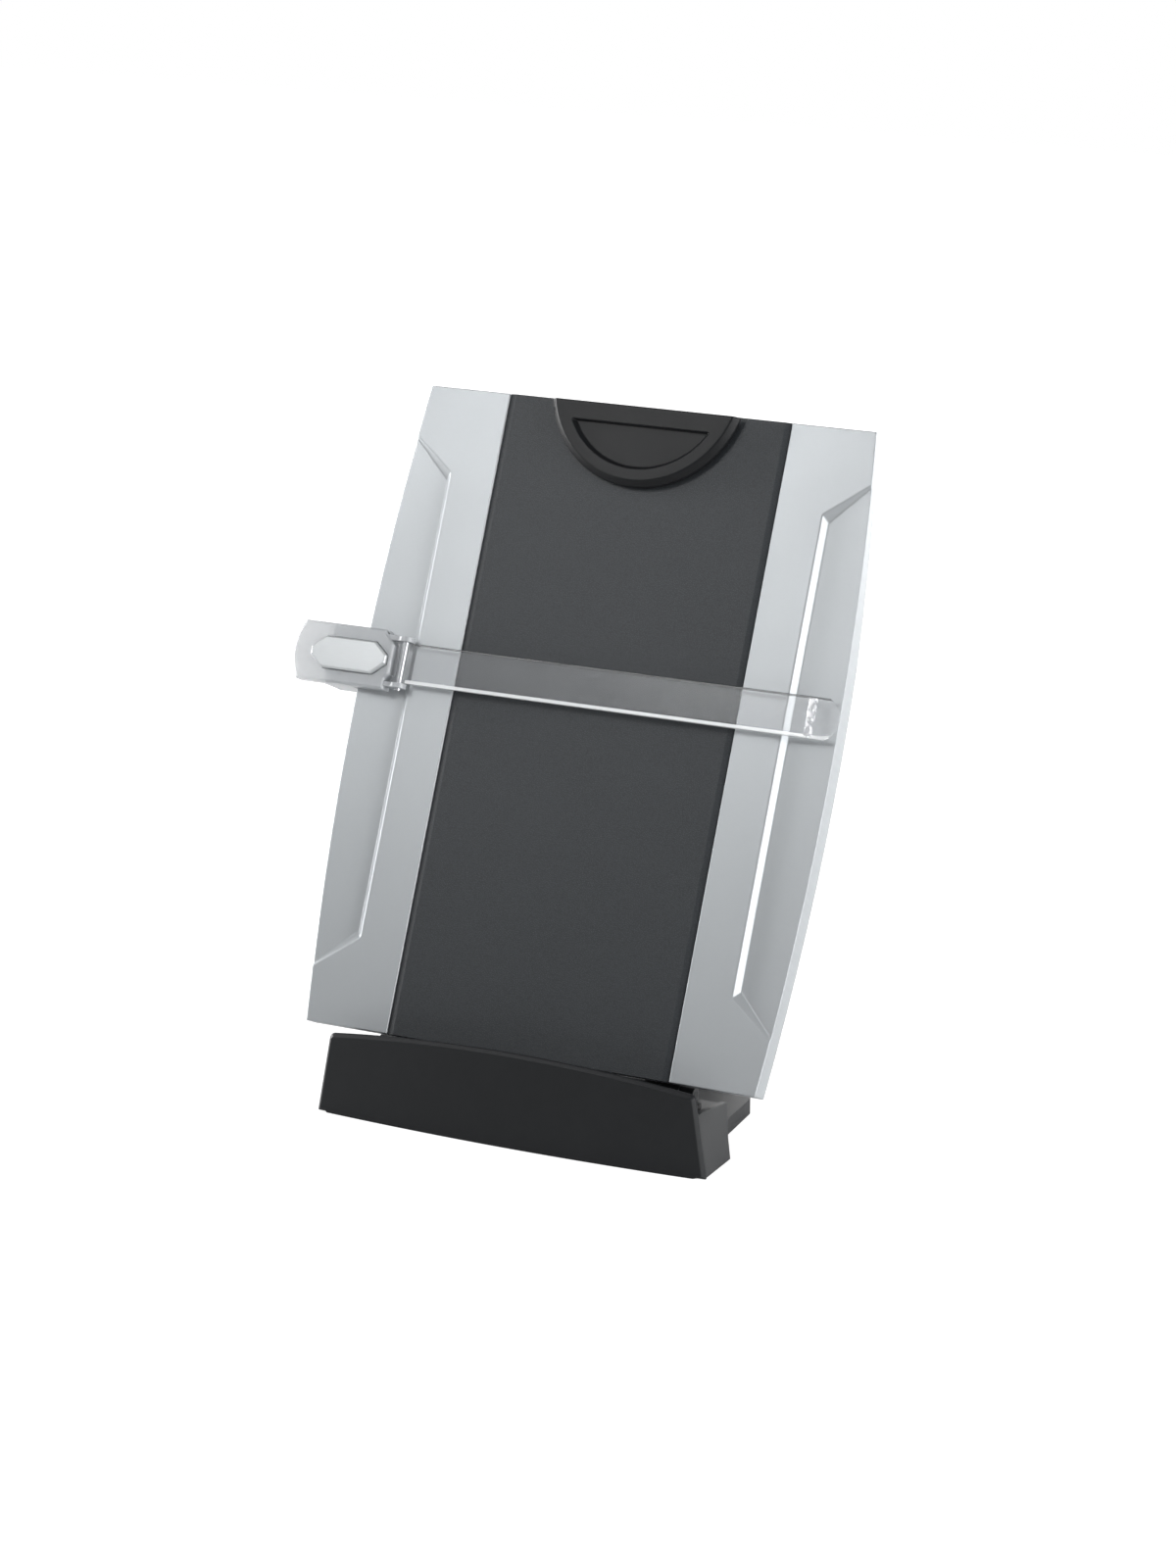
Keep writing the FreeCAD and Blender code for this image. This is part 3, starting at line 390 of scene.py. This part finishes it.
def silver_paint(colour):
    """Satin metallic paint: fine flakes, a faint orange peel and slow changes of gloss."""
    paint = Paint("silver_paint")
    flake = paint.noise(0.25 * MM, 2.0, 0.7)
    cloud = paint.noise(60 * MM, 3.0)
    peel = paint.noise(1.6 * MM, 2.0)
    tone = paint.mix(flake, shade(colour, 0.90), shade(colour, 1.08))
    tone = paint.mix(cloud * 0.25, tone, shade(colour, 0.93))
    normal = paint.bump(peel * 0.6 + flake * 0.4, 0.012 * MM, 0.6)
    return paint.principled(
        Base_Color=tone, Metallic=0.35, Roughness=0.36 + cloud * 0.10 + flake * 0.05, Normal=normal,
        Specular_IOR_Level=0.5, Coat_Weight=0.12, Coat_Roughness=0.25,
    )


def grained_panel(colour, grain):
    """Black panel with a pebbled, leather-like grain."""
    paint = Paint("grained_panel")
    cells = paint.add(
        "ShaderNodeTexVoronoi", {"Vector": paint.place(), "Scale": 1 / grain, "Randomness": 1.0},
        feature="DISTANCE_TO_EDGE",
    )
    pebble = paint.ramp(cells, 0.02, 0.28)
    fine = paint.noise(0.35 * MM, 3.0)
    worn = paint.noise(45 * MM, 4.0, 0.6)
    tone = paint.mix(pebble, shade(colour, 0.72), shade(colour, 1.12))
    tone = paint.mix(worn * 0.35, tone, shade(colour, 1.35))
    normal = paint.bump(pebble * 0.8 + fine * 0.2, 0.05 * MM, 0.55)
    return paint.principled(
        Base_Color=tone, Roughness=0.50 + fine * 0.10 - pebble * 0.05, Normal=normal, Specular_IOR_Level=0.42
    )


def moulded_black(name, colour, roughness, texture=0.030 * MM, shine=0.36):
    """Spark-textured moulded plastic with a slightly rubbed look."""
    paint = Paint(name)
    spark = paint.noise(0.45 * MM, 4.0, 0.65)
    rubbed = paint.noise(30 * MM, 3.0, 0.55)
    tone = paint.mix(spark, shade(colour, 0.85), shade(colour, 1.2))
    tone = paint.mix(paint.ramp(rubbed, 0.45, 0.75) * 0.3, tone, shade(colour, 1.5))
    normal = paint.bump(spark, texture, 0.6)
    return paint.principled(
        Base_Color=tone, Roughness=roughness + rubbed * 0.08 + spark * 0.05, Normal=normal,
        Specular_IOR_Level=shine,
    )


def clear_plastic():
    """Clear polished sheet, which veils what lies behind it a little."""
    paint = Paint("clear_plastic")
    haze = paint.noise(18 * MM, 3.0)
    return paint.principled(
        Base_Color=(0.62, 0.64, 0.66, 1), Roughness=0.10 + haze * 0.05, Alpha=0.09 + haze * 0.04,
        Specular_IOR_Level=0.5, Coat_Weight=0.2, Coat_Roughness=0.05,
    )


def painted_highlight_edge():
    """The thick lower edge of the clear sheet, which gathers light; its near-white, nearly opaque colour is a
    painted highlight.
    """
    paint = Paint("painted_highlight_edge")
    streak = paint.noise(5 * MM, 2.0, 0.5, (0.15, 1.0, 1.0))
    # Near-white and nearly opaque: a painted highlight along the lower edge
    return paint.principled(
        Base_Color=(0.90, 0.92, 0.93, 1), Roughness=0.12 + streak * 0.06, Alpha=0.60 + streak * 0.3,
        Specular_IOR_Level=0.7, Coat_Weight=0.4, Coat_Roughness=0.03,
    )


def painted_shade_edge():
    """The sheet's upper edge, painted near-black as painted shade, because it sends the light away."""
    paint = Paint("painted_shade_edge")
    streak = paint.noise(6 * MM, 2.0, 0.5, (0.15, 1.0, 1.0))
    # Near-black and half opaque: painted shade along the upper edge
    return paint.principled(
        Base_Color=(0.05, 0.052, 0.055, 1), Roughness=0.12 + streak * 0.06, Alpha=0.45 + streak * 0.2,
        Specular_IOR_Level=0.4,
    )


def painted_grip_glints():
    """The little finger grip, moulded in the clear sheet, with white patches of painted highlight in its colour.
    """
    paint = Paint("painted_grip_glints")
    glint = paint.noise(2.5 * MM, 2.0)
    # Where the noise is high the grip turns nearly opaque white: painted glints
    return paint.principled(
        Base_Color=(0.86, 0.86, 0.89, 1), Roughness=0.08 + glint * 0.1,
        Alpha=0.10 + paint.ramp(glint, 0.4, 0.6) * 0.6,
        Specular_IOR_Level=0.9, Coat_Weight=0.6, Coat_Roughness=0.03,
    )


def frosted_plastic(colour, thin_end):
    """Frosted slider moulding, a little see-through and more so at its thin left end."""
    thin_run = 24 * MM
    thin_alpha = 0.46
    thick_alpha = 0.68
    paint = Paint("frosted_plastic")
    frost = paint.noise(0.4 * MM, 3.0, 0.6)
    cloud = paint.noise(12 * MM, 2.0)
    tone = paint.mix(cloud, shade(colour, 0.92), shade(colour, 1.10))
    across = paint.add("ShaderNodeSeparateXYZ", {0: paint.place()})
    thick = paint.add(
        "ShaderNodeMapRange",
        {0: across, 1: thin_end, 2: thin_end + thin_run, 3: thin_alpha, 4: thick_alpha},
    )
    normal = paint.bump(frost, 0.01 * MM, 0.5)
    return paint.principled(
        Base_Color=tone, Roughness=0.30 + frost * 0.12, Alpha=thick + cloud * 0.06, Normal=normal,
        Specular_IOR_Level=0.6, Coat_Weight=0.3, Coat_Roughness=0.12,
    )


def button_silver(colour):
    """Satin silver plating with a fine brushed grain along the button."""
    paint = Paint("button_silver")
    brushed = paint.noise(0.5 * MM, 3.0, 0.6, (0.08, 1.0, 1.0))
    tone = paint.mix(brushed, shade(colour, 0.95), shade(colour, 1.04))
    return paint.principled(
        Base_Color=tone, Metallic=0.35, Roughness=0.30 + brushed * 0.12,
        Normal=paint.bump(brushed, 0.006 * MM, 0.4),
    )


def plain_steel():
    """Turned steel of pins, springs and screws."""
    paint = Paint("plain_steel")
    turned = paint.noise(0.6 * MM, 3.0)
    tone = paint.mix(turned, (0.42, 0.43, 0.45, 1), (0.60, 0.61, 0.62, 1))
    return paint.principled(Base_Color=tone, Metallic=1.0, Roughness=0.26 + turned * 0.16)


def natural_nylon():
    paint = Paint("natural_nylon")
    cloud = paint.noise(1.5 * MM, 3.0)
    tone = paint.mix(cloud, (0.60, 0.59, 0.55, 1), (0.74, 0.73, 0.69, 1))
    return paint.principled(Base_Color=tone, Roughness=0.45 + cloud * 0.1)


def matt_rubber():
    paint = Paint("matt_rubber")
    pores = paint.noise(0.3 * MM, 4.0, 0.7)
    tone = paint.mix(pores, (0.012, 0.012, 0.013, 1), (0.030, 0.030, 0.031, 1))
    return paint.principled(
        Base_Color=tone, Roughness=0.72 + pores * 0.15, Normal=paint.bump(pores, 0.03 * MM, 0.7),
    )


class COPYHOLDER_OT_board(bpy.types.Operator):
    """Silver frame, grained centre panel and back cover"""

    bl_idname = "copyholder.board"
    bl_label = "Board"

    def execute(self, context):
        sizes = context.scene.copyholder_sizes
        finish = context.scene.copyholder_finish
        shell = moulded_copy("front_shell", "silver_frame", sizes.edge_radius)
        seat(shell, "front_shell", silver_paint(finish.silver))
        self.centre_panel(sizes, finish)
        cover = moulded_copy("back_cover", "rear_cover", sizes.small_radius / 2, holed=True)
        seat(cover, "back_cover", moulded_black("rear_black", finish.black, 0.46))
        return {"FINISHED"}

    def centre_panel(self, sizes, finish):
        low, high = board_box("centre_panel")
        panel = block("grained_centre_panel", low, high)
        edit_select(panel, "FACE", lambda centre, normal: True)
        for side in (-1, 1):
            bpy.ops.mesh.select_all(action="SELECT")
            crease = side * (high.x - sizes.panel_bevel)
            bpy.ops.mesh.bisect(plane_co=(crease, 0, 0), plane_no=(1, 0, 0))
        outer = high.x - sizes.panel_bevel / 2
        edit_select(panel, "VERT", lambda co: abs(co.x) > outer and co.z > (low.z + high.z) / 2)
        bpy.ops.transform.translate(value=(0, 0, -sizes.panel_drop))
        leave_edit()
        place_on_board(panel)
        round_edges(panel, sizes.small_radius, segments=2, angle=8)
        seat(panel, "centre_panel", grained_panel(finish.panel, finish.grain_size))


class COPYHOLDER_OT_clip(bpy.types.Operator):
    """Spring clip with its finger pocket"""

    bl_idname = "copyholder.clip"
    bl_label = "Clip"

    # The clip's share of the base's colour
    darkening = 0.6

    def execute(self, context):
        sizes = context.scene.copyholder_sizes
        finish = context.scene.copyholder_finish
        lever = moulded_copy("clip_lever", "half_round_clip", sizes.edge_radius, holed=True)
        colour = shade(finish.black, self.darkening)[:3]
        black = moulded_black("clip_black", colour, 0.37, texture=0.02 * MM, shine=0.20)
        seat(lever, "clip_lever", black)
        return {"FINISHED"}


class COPYHOLDER_OT_guide(bpy.types.Operator):
    """Clear blade, frosted slider and release button"""

    bl_idname = "copyholder.guide"
    bl_label = "Line guide"

    # The blade's hinge barrel, and where its finger grip starts across and out of the board
    barrel_length = 12 * MM
    grip_start = 100 * MM
    grip_height = 6.4 * MM
    # Material slots of the blade's painted highlight along its lower bead, of the painted shade along its upper
    # edge and of the painted glints on its grip
    highlight_slot = 1
    shade_slot = 2
    glint_slot = 3
    # The key starts this far above the underside of the button's solid
    button_seat = 1.4 * MM
    # An edge taller than this stands upright, and a vertex this near a side lies on it
    upright_edge = 1 * MM
    side_reach = 0.1 * MM
    # A face turned outwards at least this much is the button's front
    front_facing = 0.9

    def execute(self, context):
        sizes = context.scene.copyholder_sizes
        finish = context.scene.copyholder_finish
        frosted = frosted_plastic(finish.frosted, board_box("slider_front")[0].x)
        for node, name in (("slider_front", "frosted_slider"), ("slider_back", "slider_clamp")):
            seat(moulded_copy(node, name, sizes.small_radius), node, frosted)
        self.blade(sizes)
        self.button(sizes, finish)
        return {"FINISHED"}

    def blade(self, sizes):
        blade = moulded_copy("guide_blade", "clear_blade", 0, holed=True)
        low, high = board_box("guide_blade")
        up = BOARD.to_3x3() @ Vector((0, 1, 0))
        # From this height up the blade's upper edge gets painted shade
        shade_from = high.y - sizes.blade_shade
        # Up to this height the blade's lower edge gets a painted highlight
        highlight_to = low.y + sizes.blade_highlight
        edit_select(blade, "FACE", lambda spot, normal: True)
        for height in (shade_from, highlight_to):
            bpy.ops.mesh.select_all(action="SELECT")
            bpy.ops.mesh.bisect(plane_co=BOARD @ Vector((0, height, 0)), plane_no=up)
        leave_edit()
        round_edges(blade, sizes.small_radius, segments=2)
        seat(blade, "guide_blade", clear_plastic())
        # The blade's extra materials paint a highlight along its lower edge, shade along its upper edge and glints
        # on its grip
        for material in (painted_highlight_edge(), painted_shade_edge(), painted_grip_glints()):
            blade.data.materials.append(material)
        barrel_end = low.x + self.barrel_length
        for face in blade.data.polygons:
            spot = FROM_WORLD @ face.center
            if spot.x < barrel_end:
                continue
            if spot.z > self.grip_height and spot.x > self.grip_start:
                face.material_index = self.glint_slot
            elif spot.y < highlight_to:
                face.material_index = self.highlight_slot
            elif spot.y > shade_from:
                face.material_index = self.shade_slot

    def button(self, sizes, finish):
        low, high = board_box("release_button")
        middle = (low.y + high.y) / 2
        low = Vector((low.x, middle - sizes.button_half, low.z + self.button_seat))
        high = Vector((high.x, middle + sizes.button_half, high.z))
        button = block("release_key", low, high)
        cut = sizes.button_half - sizes.button_tip_half
        edit_select(button, "EDGE", lambda a, b: abs(a.z - b.z) > self.upright_edge)
        bpy.ops.mesh.bevel(offset=cut, segments=1)
        centre = (low.x + high.x) / 2
        half = (high.x - low.x) / 2
        shrink = (half - sizes.button_tip_run) / (half - cut)
        side_from = sizes.button_half - self.side_reach
        edit_select(button, "VERT", lambda co: abs(co.y - middle) > side_from)
        bpy.ops.transform.resize(value=(shrink, 1, 1), center_override=(centre, middle, 0))
        edit_select(button, "FACE", lambda spot, normal: normal.z > self.front_facing)
        bpy.ops.transform.translate(value=(0, 0, -sizes.button_crown))
        bpy.ops.mesh.inset(thickness=sizes.button_crown, depth=0)
        bpy.ops.transform.translate(value=(0, 0, sizes.button_crown))
        leave_edit()
        place_on_board(button)
        round_edges(button, sizes.small_radius, angle=20)
        seat(button, "release_button", button_silver(finish.button))


class COPYHOLDER_OT_base(bpy.types.Operator):
    """Front lip, base body, end caps and tray"""

    bl_idname = "copyholder.base"
    bl_label = "Base"

    ledge_radius = 0.15 * MM
    lip_rounding = 0.4 * MM
    lip_columns = 48
    # A vertex this near a column belongs to it, and one above this height is at its top
    column_reach = 0.2 * MM
    foot_height = 20 * MM
    # How near the lip's top and its end an edge of its corner lies, and how deep it goes at least
    corner_reach = 1 * MM
    end_reach = 0.5 * MM
    corner_depth = 1 * MM

    def execute(self, context):
        sizes = context.scene.copyholder_sizes
        finish = context.scene.copyholder_finish
        black = moulded_black("base_black", finish.black, 0.40, shine=0.46)
        self.front_lip(sizes, moulded_black("lip_black", finish.black, 0.40, shine=0.25))
        copies = (
            ("base_body", "base_moulding"),
            ("end_cap_right", "right_end_cap"),
            ("end_cap_left", "left_end_cap"),
        )
        for node, name in copies:
            seat(moulded_copy(node, name, sizes.small_radius, holed=True), node, black)
        ledge = moulded_copy("paper_ledge", "ribbed_tray_strip", self.ledge_radius, segments=2)
        seat(ledge, "paper_ledge", matt_rubber())
        return {"FINISHED"}

    def front_lip(self, sizes, black):
        low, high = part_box("front_lip")
        front = low.y + sizes.lip_bow
        lip = block(
            "bowed_front_lip", Vector((low.x, front, low.z)),
            Vector((high.x, front + sizes.lip_wall, sizes.lip_end_height)),
        )
        edit_select(lip, "VERT", lambda co: co.z > sizes.lip_end_height / 2)
        bpy.ops.transform.resize(value=(sizes.lip_top_half / high.x, 1, 1), center_override=(0, 0, 0))
        edit_select(lip, "EDGE", lambda a, b: abs(a.x - b.x) > high.x)
        bpy.ops.mesh.subdivide(number_cuts=self.lip_columns - 1)
        leave_edit()
        crown = high.z - sizes.lip_end_height
        for step in range(self.lip_columns + 1):
            share = 2 * step / self.lip_columns - 1
            arch = 1 - share * share
            forward = -sizes.lip_bow * arch
            for top in (False, True):
                half = sizes.lip_top_half if top else high.x
                spot = share * half
                lean = sizes.lip_lean * (sizes.lip_end_height - low.z + crown * arch) if top else 0.0
                rise = crown * arch if top else 0.0

                def near(co, spot=spot, top=top):
                    return abs(co.x - spot) < self.column_reach and (co.z > self.foot_height) == top

                edit_select(lip, "VERT", near)
                bpy.ops.transform.translate(value=(0, forward + lean, rise))
        corner_z = sizes.lip_end_height - self.corner_reach
        edge_x = sizes.lip_top_half - self.end_reach

        def at_one_end(a, b):
            return min(abs(a.x), abs(b.x)) > edge_x and a.x * b.x > 0

        def at_corner(a, b):
            return at_one_end(a, b) and min(a.z, b.z) > corner_z and abs(a.y - b.y) > self.corner_depth

        def in_front(co):
            share = co.x / (high.x + (sizes.lip_top_half - high.x) * min(1, co.z / sizes.lip_end_height))
            lean = sizes.lip_lean * (co.z - low.z)
            return co.y < front - sizes.lip_bow * (1 - share * share) + lean + sizes.lip_wall / 2

        def on_rim(a, b):
            in_upper_half = min(a.z, b.z) > sizes.lip_end_height / 2
            return in_front(a) and in_front(b) and (at_one_end(a, b) or in_upper_half)

        edit_select(lip, "EDGE", at_corner)
        bpy.ops.mesh.bevel(offset=sizes.lip_corner, segments=6)
        edit_select(lip, "EDGE", on_rim)
        bpy.ops.mesh.bevel(offset=sizes.lip_chamfer, segments=1)
        leave_edit()
        round_edges(lip, self.lip_rounding, angle=30)
        seat(lip, "front_lip", black)


class COPYHOLDER_OT_leg(bpy.types.Operator):
    """Easel leg behind the board"""

    bl_idname = "copyholder.leg"
    bl_label = "Easel leg"

    def execute(self, context):
        sizes = context.scene.copyholder_sizes
        finish = context.scene.copyholder_finish
        leg = moulded_copy("easel_leg", "folding_leg", sizes.edge_radius)
        seat(leg, "easel_leg", moulded_black("leg_black", finish.black, 0.44))
        return {"FINISHED"}


class COPYHOLDER_OT_hardware(bpy.types.Operator):
    """Finish of the pins, screws, springs, feet and other plain parts"""

    bl_idname = "copyholder.hardware"
    bl_label = "Hardware"

    def execute(self, context):
        finish = context.scene.copyholder_finish
        steel = (
            "base_screws", "cover_screws", "leg_pin", "clip_pin", "clip_spring", "slider_screws",
            "guide_pin",
        )
        metal = plain_steel()
        coat(steel, metal)
        self.pressed_spring(metal)
        coat(("slider_liner",), natural_nylon())
        coat(("tilt_pins", "friction_washers"), moulded_black("hinge_black", finish.black, 0.5))
        coat(("clip_ears",), silver_paint(finish.silver))
        coat(("desk_strip", "base_feet", "leg_pad", "clip_jaw_pad"), matt_rubber())
        coat(("bottom_plate", "guide_rail"), moulded_black("under_black", finish.black, 0.5))
        return {"FINISHED"}

    def pressed_spring(self, metal):
        """The button's spring stands on the slider and gets shorter as the button goes in; here it is set on the
        slider with a mesh of its own, and nothing makes it shorter.
        """
        spring = moulded_copy("button_spring", "coil_spring", 0)
        bpy.ops.object.shade_smooth()
        seat(spring, "button_spring", metal)
        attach(spring, "slider")
        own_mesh(spring)


class COPYHOLDER_OT_stage(bpy.types.Operator):
    """Floor, lamps, world and camera"""

    bl_idname = "copyholder.stage"
    bl_label = "Stage"

    camera_place = Vector((0.98386, -1.92810, 0.84149))
    camera_target = Vector((0.03475, 0.0, 0.18626))
    lens = 106.47
    # Each lamp's name, place, target, size, power and spread in degrees
    lamps = (
        ("key_lamp", (-0.46, -0.70, 0.96), (-0.04, 0.12, 0.29), 0.40, 0.60, 62),
        ("right_lamp", (1.90, -0.30, 0.50), (0.0, 0.05, 0.16), 1.0, 37.0, 180),
        ("left_lamp", (-1.80, 0.10, 0.36), (0.0, 0.07, 0.20), 0.8, 44.0, 180),
        ("top_lamp", (-0.60, -0.35, 1.90), (0.0, 0.0, 0.10), 1.2, 5.0, 180),
        ("back_lamp", (-1.20, 1.90, 0.60), (0.0, 0.05, 0.20), 1.4, 22.0, 180),
        ("rim_lamp", (1.15, 1.95, 0.45), (0.05, 0.0, 0.05), 1.3, 34.0, 180),
    )
    sensor_width = 36.0
    floor_size = 6
    # To the camera, this share of the floor glows up to the first distance, and all from the second
    floor_veil = 0.62
    floor_clear = (0.40, 0.95)
    floor_glow = 1.4
    # The world's light on the part, and the white that the camera sees
    room_colour = (0.75, 0.76, 0.78, 1)
    room_strength = 0.21
    backdrop_strength = 1.0

    def execute(self, context):
        scene = context.scene
        scene.view_settings.view_transform = "Standard"
        self.floor()
        self.world(scene)
        for name, place, target, size, power, spread in self.lamps:
            self.lamp(name, Vector(place), Vector(target), size, power, spread)
        bpy.ops.object.select_all(action="DESELECT")
        bpy.ops.object.camera_add(location=self.camera_place)
        camera = context.object
        camera.rotation_euler = (self.camera_target - self.camera_place).to_track_quat("-Z", "Y").to_euler()
        camera.data.lens = self.lens
        camera.data.sensor_width = self.sensor_width
        camera.data.clip_end = 50.0
        scene.camera = camera
        return {"FINISHED"}

    def lamp(self, name, place, target, size, power, spread):
        bpy.ops.object.select_all(action="DESELECT")
        bpy.ops.object.light_add(type="AREA", location=place)
        lamp = bpy.context.object
        lamp.name = name
        lamp.data.size = size
        lamp.data.energy = power
        lamp.data.spread = math.radians(spread)
        lamp.rotation_euler = (target - place).to_track_quat("-Z", "Y").to_euler()

    def floor(self):
        bpy.ops.object.select_all(action="DESELECT")
        bpy.ops.mesh.primitive_plane_add(size=self.floor_size, location=(0, 0, 0))
        floor = bpy.context.object
        floor.name = "pale_floor"
        paint = Paint("pale_floor")
        seen = paint.add("ShaderNodeLightPath")
        away = paint.add("ShaderNodeVectorMath", {0: paint.place()}, output=1, operation="LENGTH")
        near, far = self.floor_clear
        rim = paint.add("ShaderNodeMapRange", {0: away, 1: near, 2: far, 3: self.floor_veil, 4: 1.0})
        drift = paint.noise(0.4, 2.0)
        tone = paint.mix(drift, (0.84, 0.84, 0.84, 1), (0.88, 0.88, 0.88, 1))
        matt = paint.add("ShaderNodeBsdfDiffuse", {"Color": tone})
        glow = paint.add("ShaderNodeEmission", {"Color": (1, 1, 1, 1), "Strength": self.floor_glow})
        paint.add_output(paint.add("ShaderNodeMixShader", {0: seen * rim, 1: matt, 2: glow}))
        floor.data.materials.append(paint.material)

    def world(self, scene):
        world = bpy.data.worlds.new("studio")
        scene.world = world
        world.use_nodes = True
        tree = world.node_tree
        tree.nodes.clear()
        output = tree.nodes.new("ShaderNodeOutputWorld")
        plain = tree.nodes.new("ShaderNodeBackground")
        plain.inputs["Color"].default_value = self.room_colour
        plain.inputs["Strength"].default_value = self.room_strength
        white = tree.nodes.new("ShaderNodeBackground")
        white.inputs["Color"].default_value = (1, 1, 1, 1)
        white.inputs["Strength"].default_value = self.backdrop_strength
        path = tree.nodes.new("ShaderNodeLightPath")
        mix = tree.nodes.new("ShaderNodeMixShader")
        tree.links.new(path.outputs["Is Camera Ray"], mix.inputs[0])
        tree.links.new(plain.outputs[0], mix.inputs[1])
        tree.links.new(white.outputs[0], mix.inputs[2])
        tree.links.new(mix.outputs[0], output.inputs["Surface"])


class COPYHOLDER_PT_panel(bpy.types.Panel):
    """Lists the pieces, their sizes and their colours"""

    bl_idname = "COPYHOLDER_PT_panel"
    bl_label = "Copy Holder"
    bl_space_type = "VIEW_3D"
    bl_region_type = "UI"
    bl_category = "Copy Holder"

    def draw(self, context):
        layout = self.layout
        for operator in OPERATORS:
            layout.operator(operator.bl_idname)
        for group in (context.scene.copyholder_sizes, context.scene.copyholder_finish):
            for name in group.bl_rna.properties.keys():
                if name not in ("rna_type", "name"):
                    layout.prop(group, name)


OPERATORS = (
    COPYHOLDER_OT_board, COPYHOLDER_OT_clip, COPYHOLDER_OT_guide, COPYHOLDER_OT_base, COPYHOLDER_OT_leg,
    COPYHOLDER_OT_hardware, COPYHOLDER_OT_stage,
)
CLASSES = (CopyHolderSizes, CopyHolderFinish) + OPERATORS + (COPYHOLDER_PT_panel,)


def register():
    for cls in CLASSES:
        bpy.utils.register_class(cls)
    bpy.types.Scene.copyholder_sizes = bpy.props.PointerProperty(type=CopyHolderSizes)
    bpy.types.Scene.copyholder_finish = bpy.props.PointerProperty(type=CopyHolderFinish)


def unregister():
    del bpy.types.Scene.copyholder_finish
    del bpy.types.Scene.copyholder_sizes
    for cls in reversed(CLASSES):
        bpy.utils.unregister_class(cls)


def main():
    register()
    bpy.ops.copyholder.board()
    bpy.ops.copyholder.clip()
    bpy.ops.copyholder.guide()
    bpy.ops.copyholder.base()
    bpy.ops.copyholder.leg()
    bpy.ops.copyholder.hardware()
    bpy.ops.copyholder.stage()


if __name__ == "__main__":
    main()
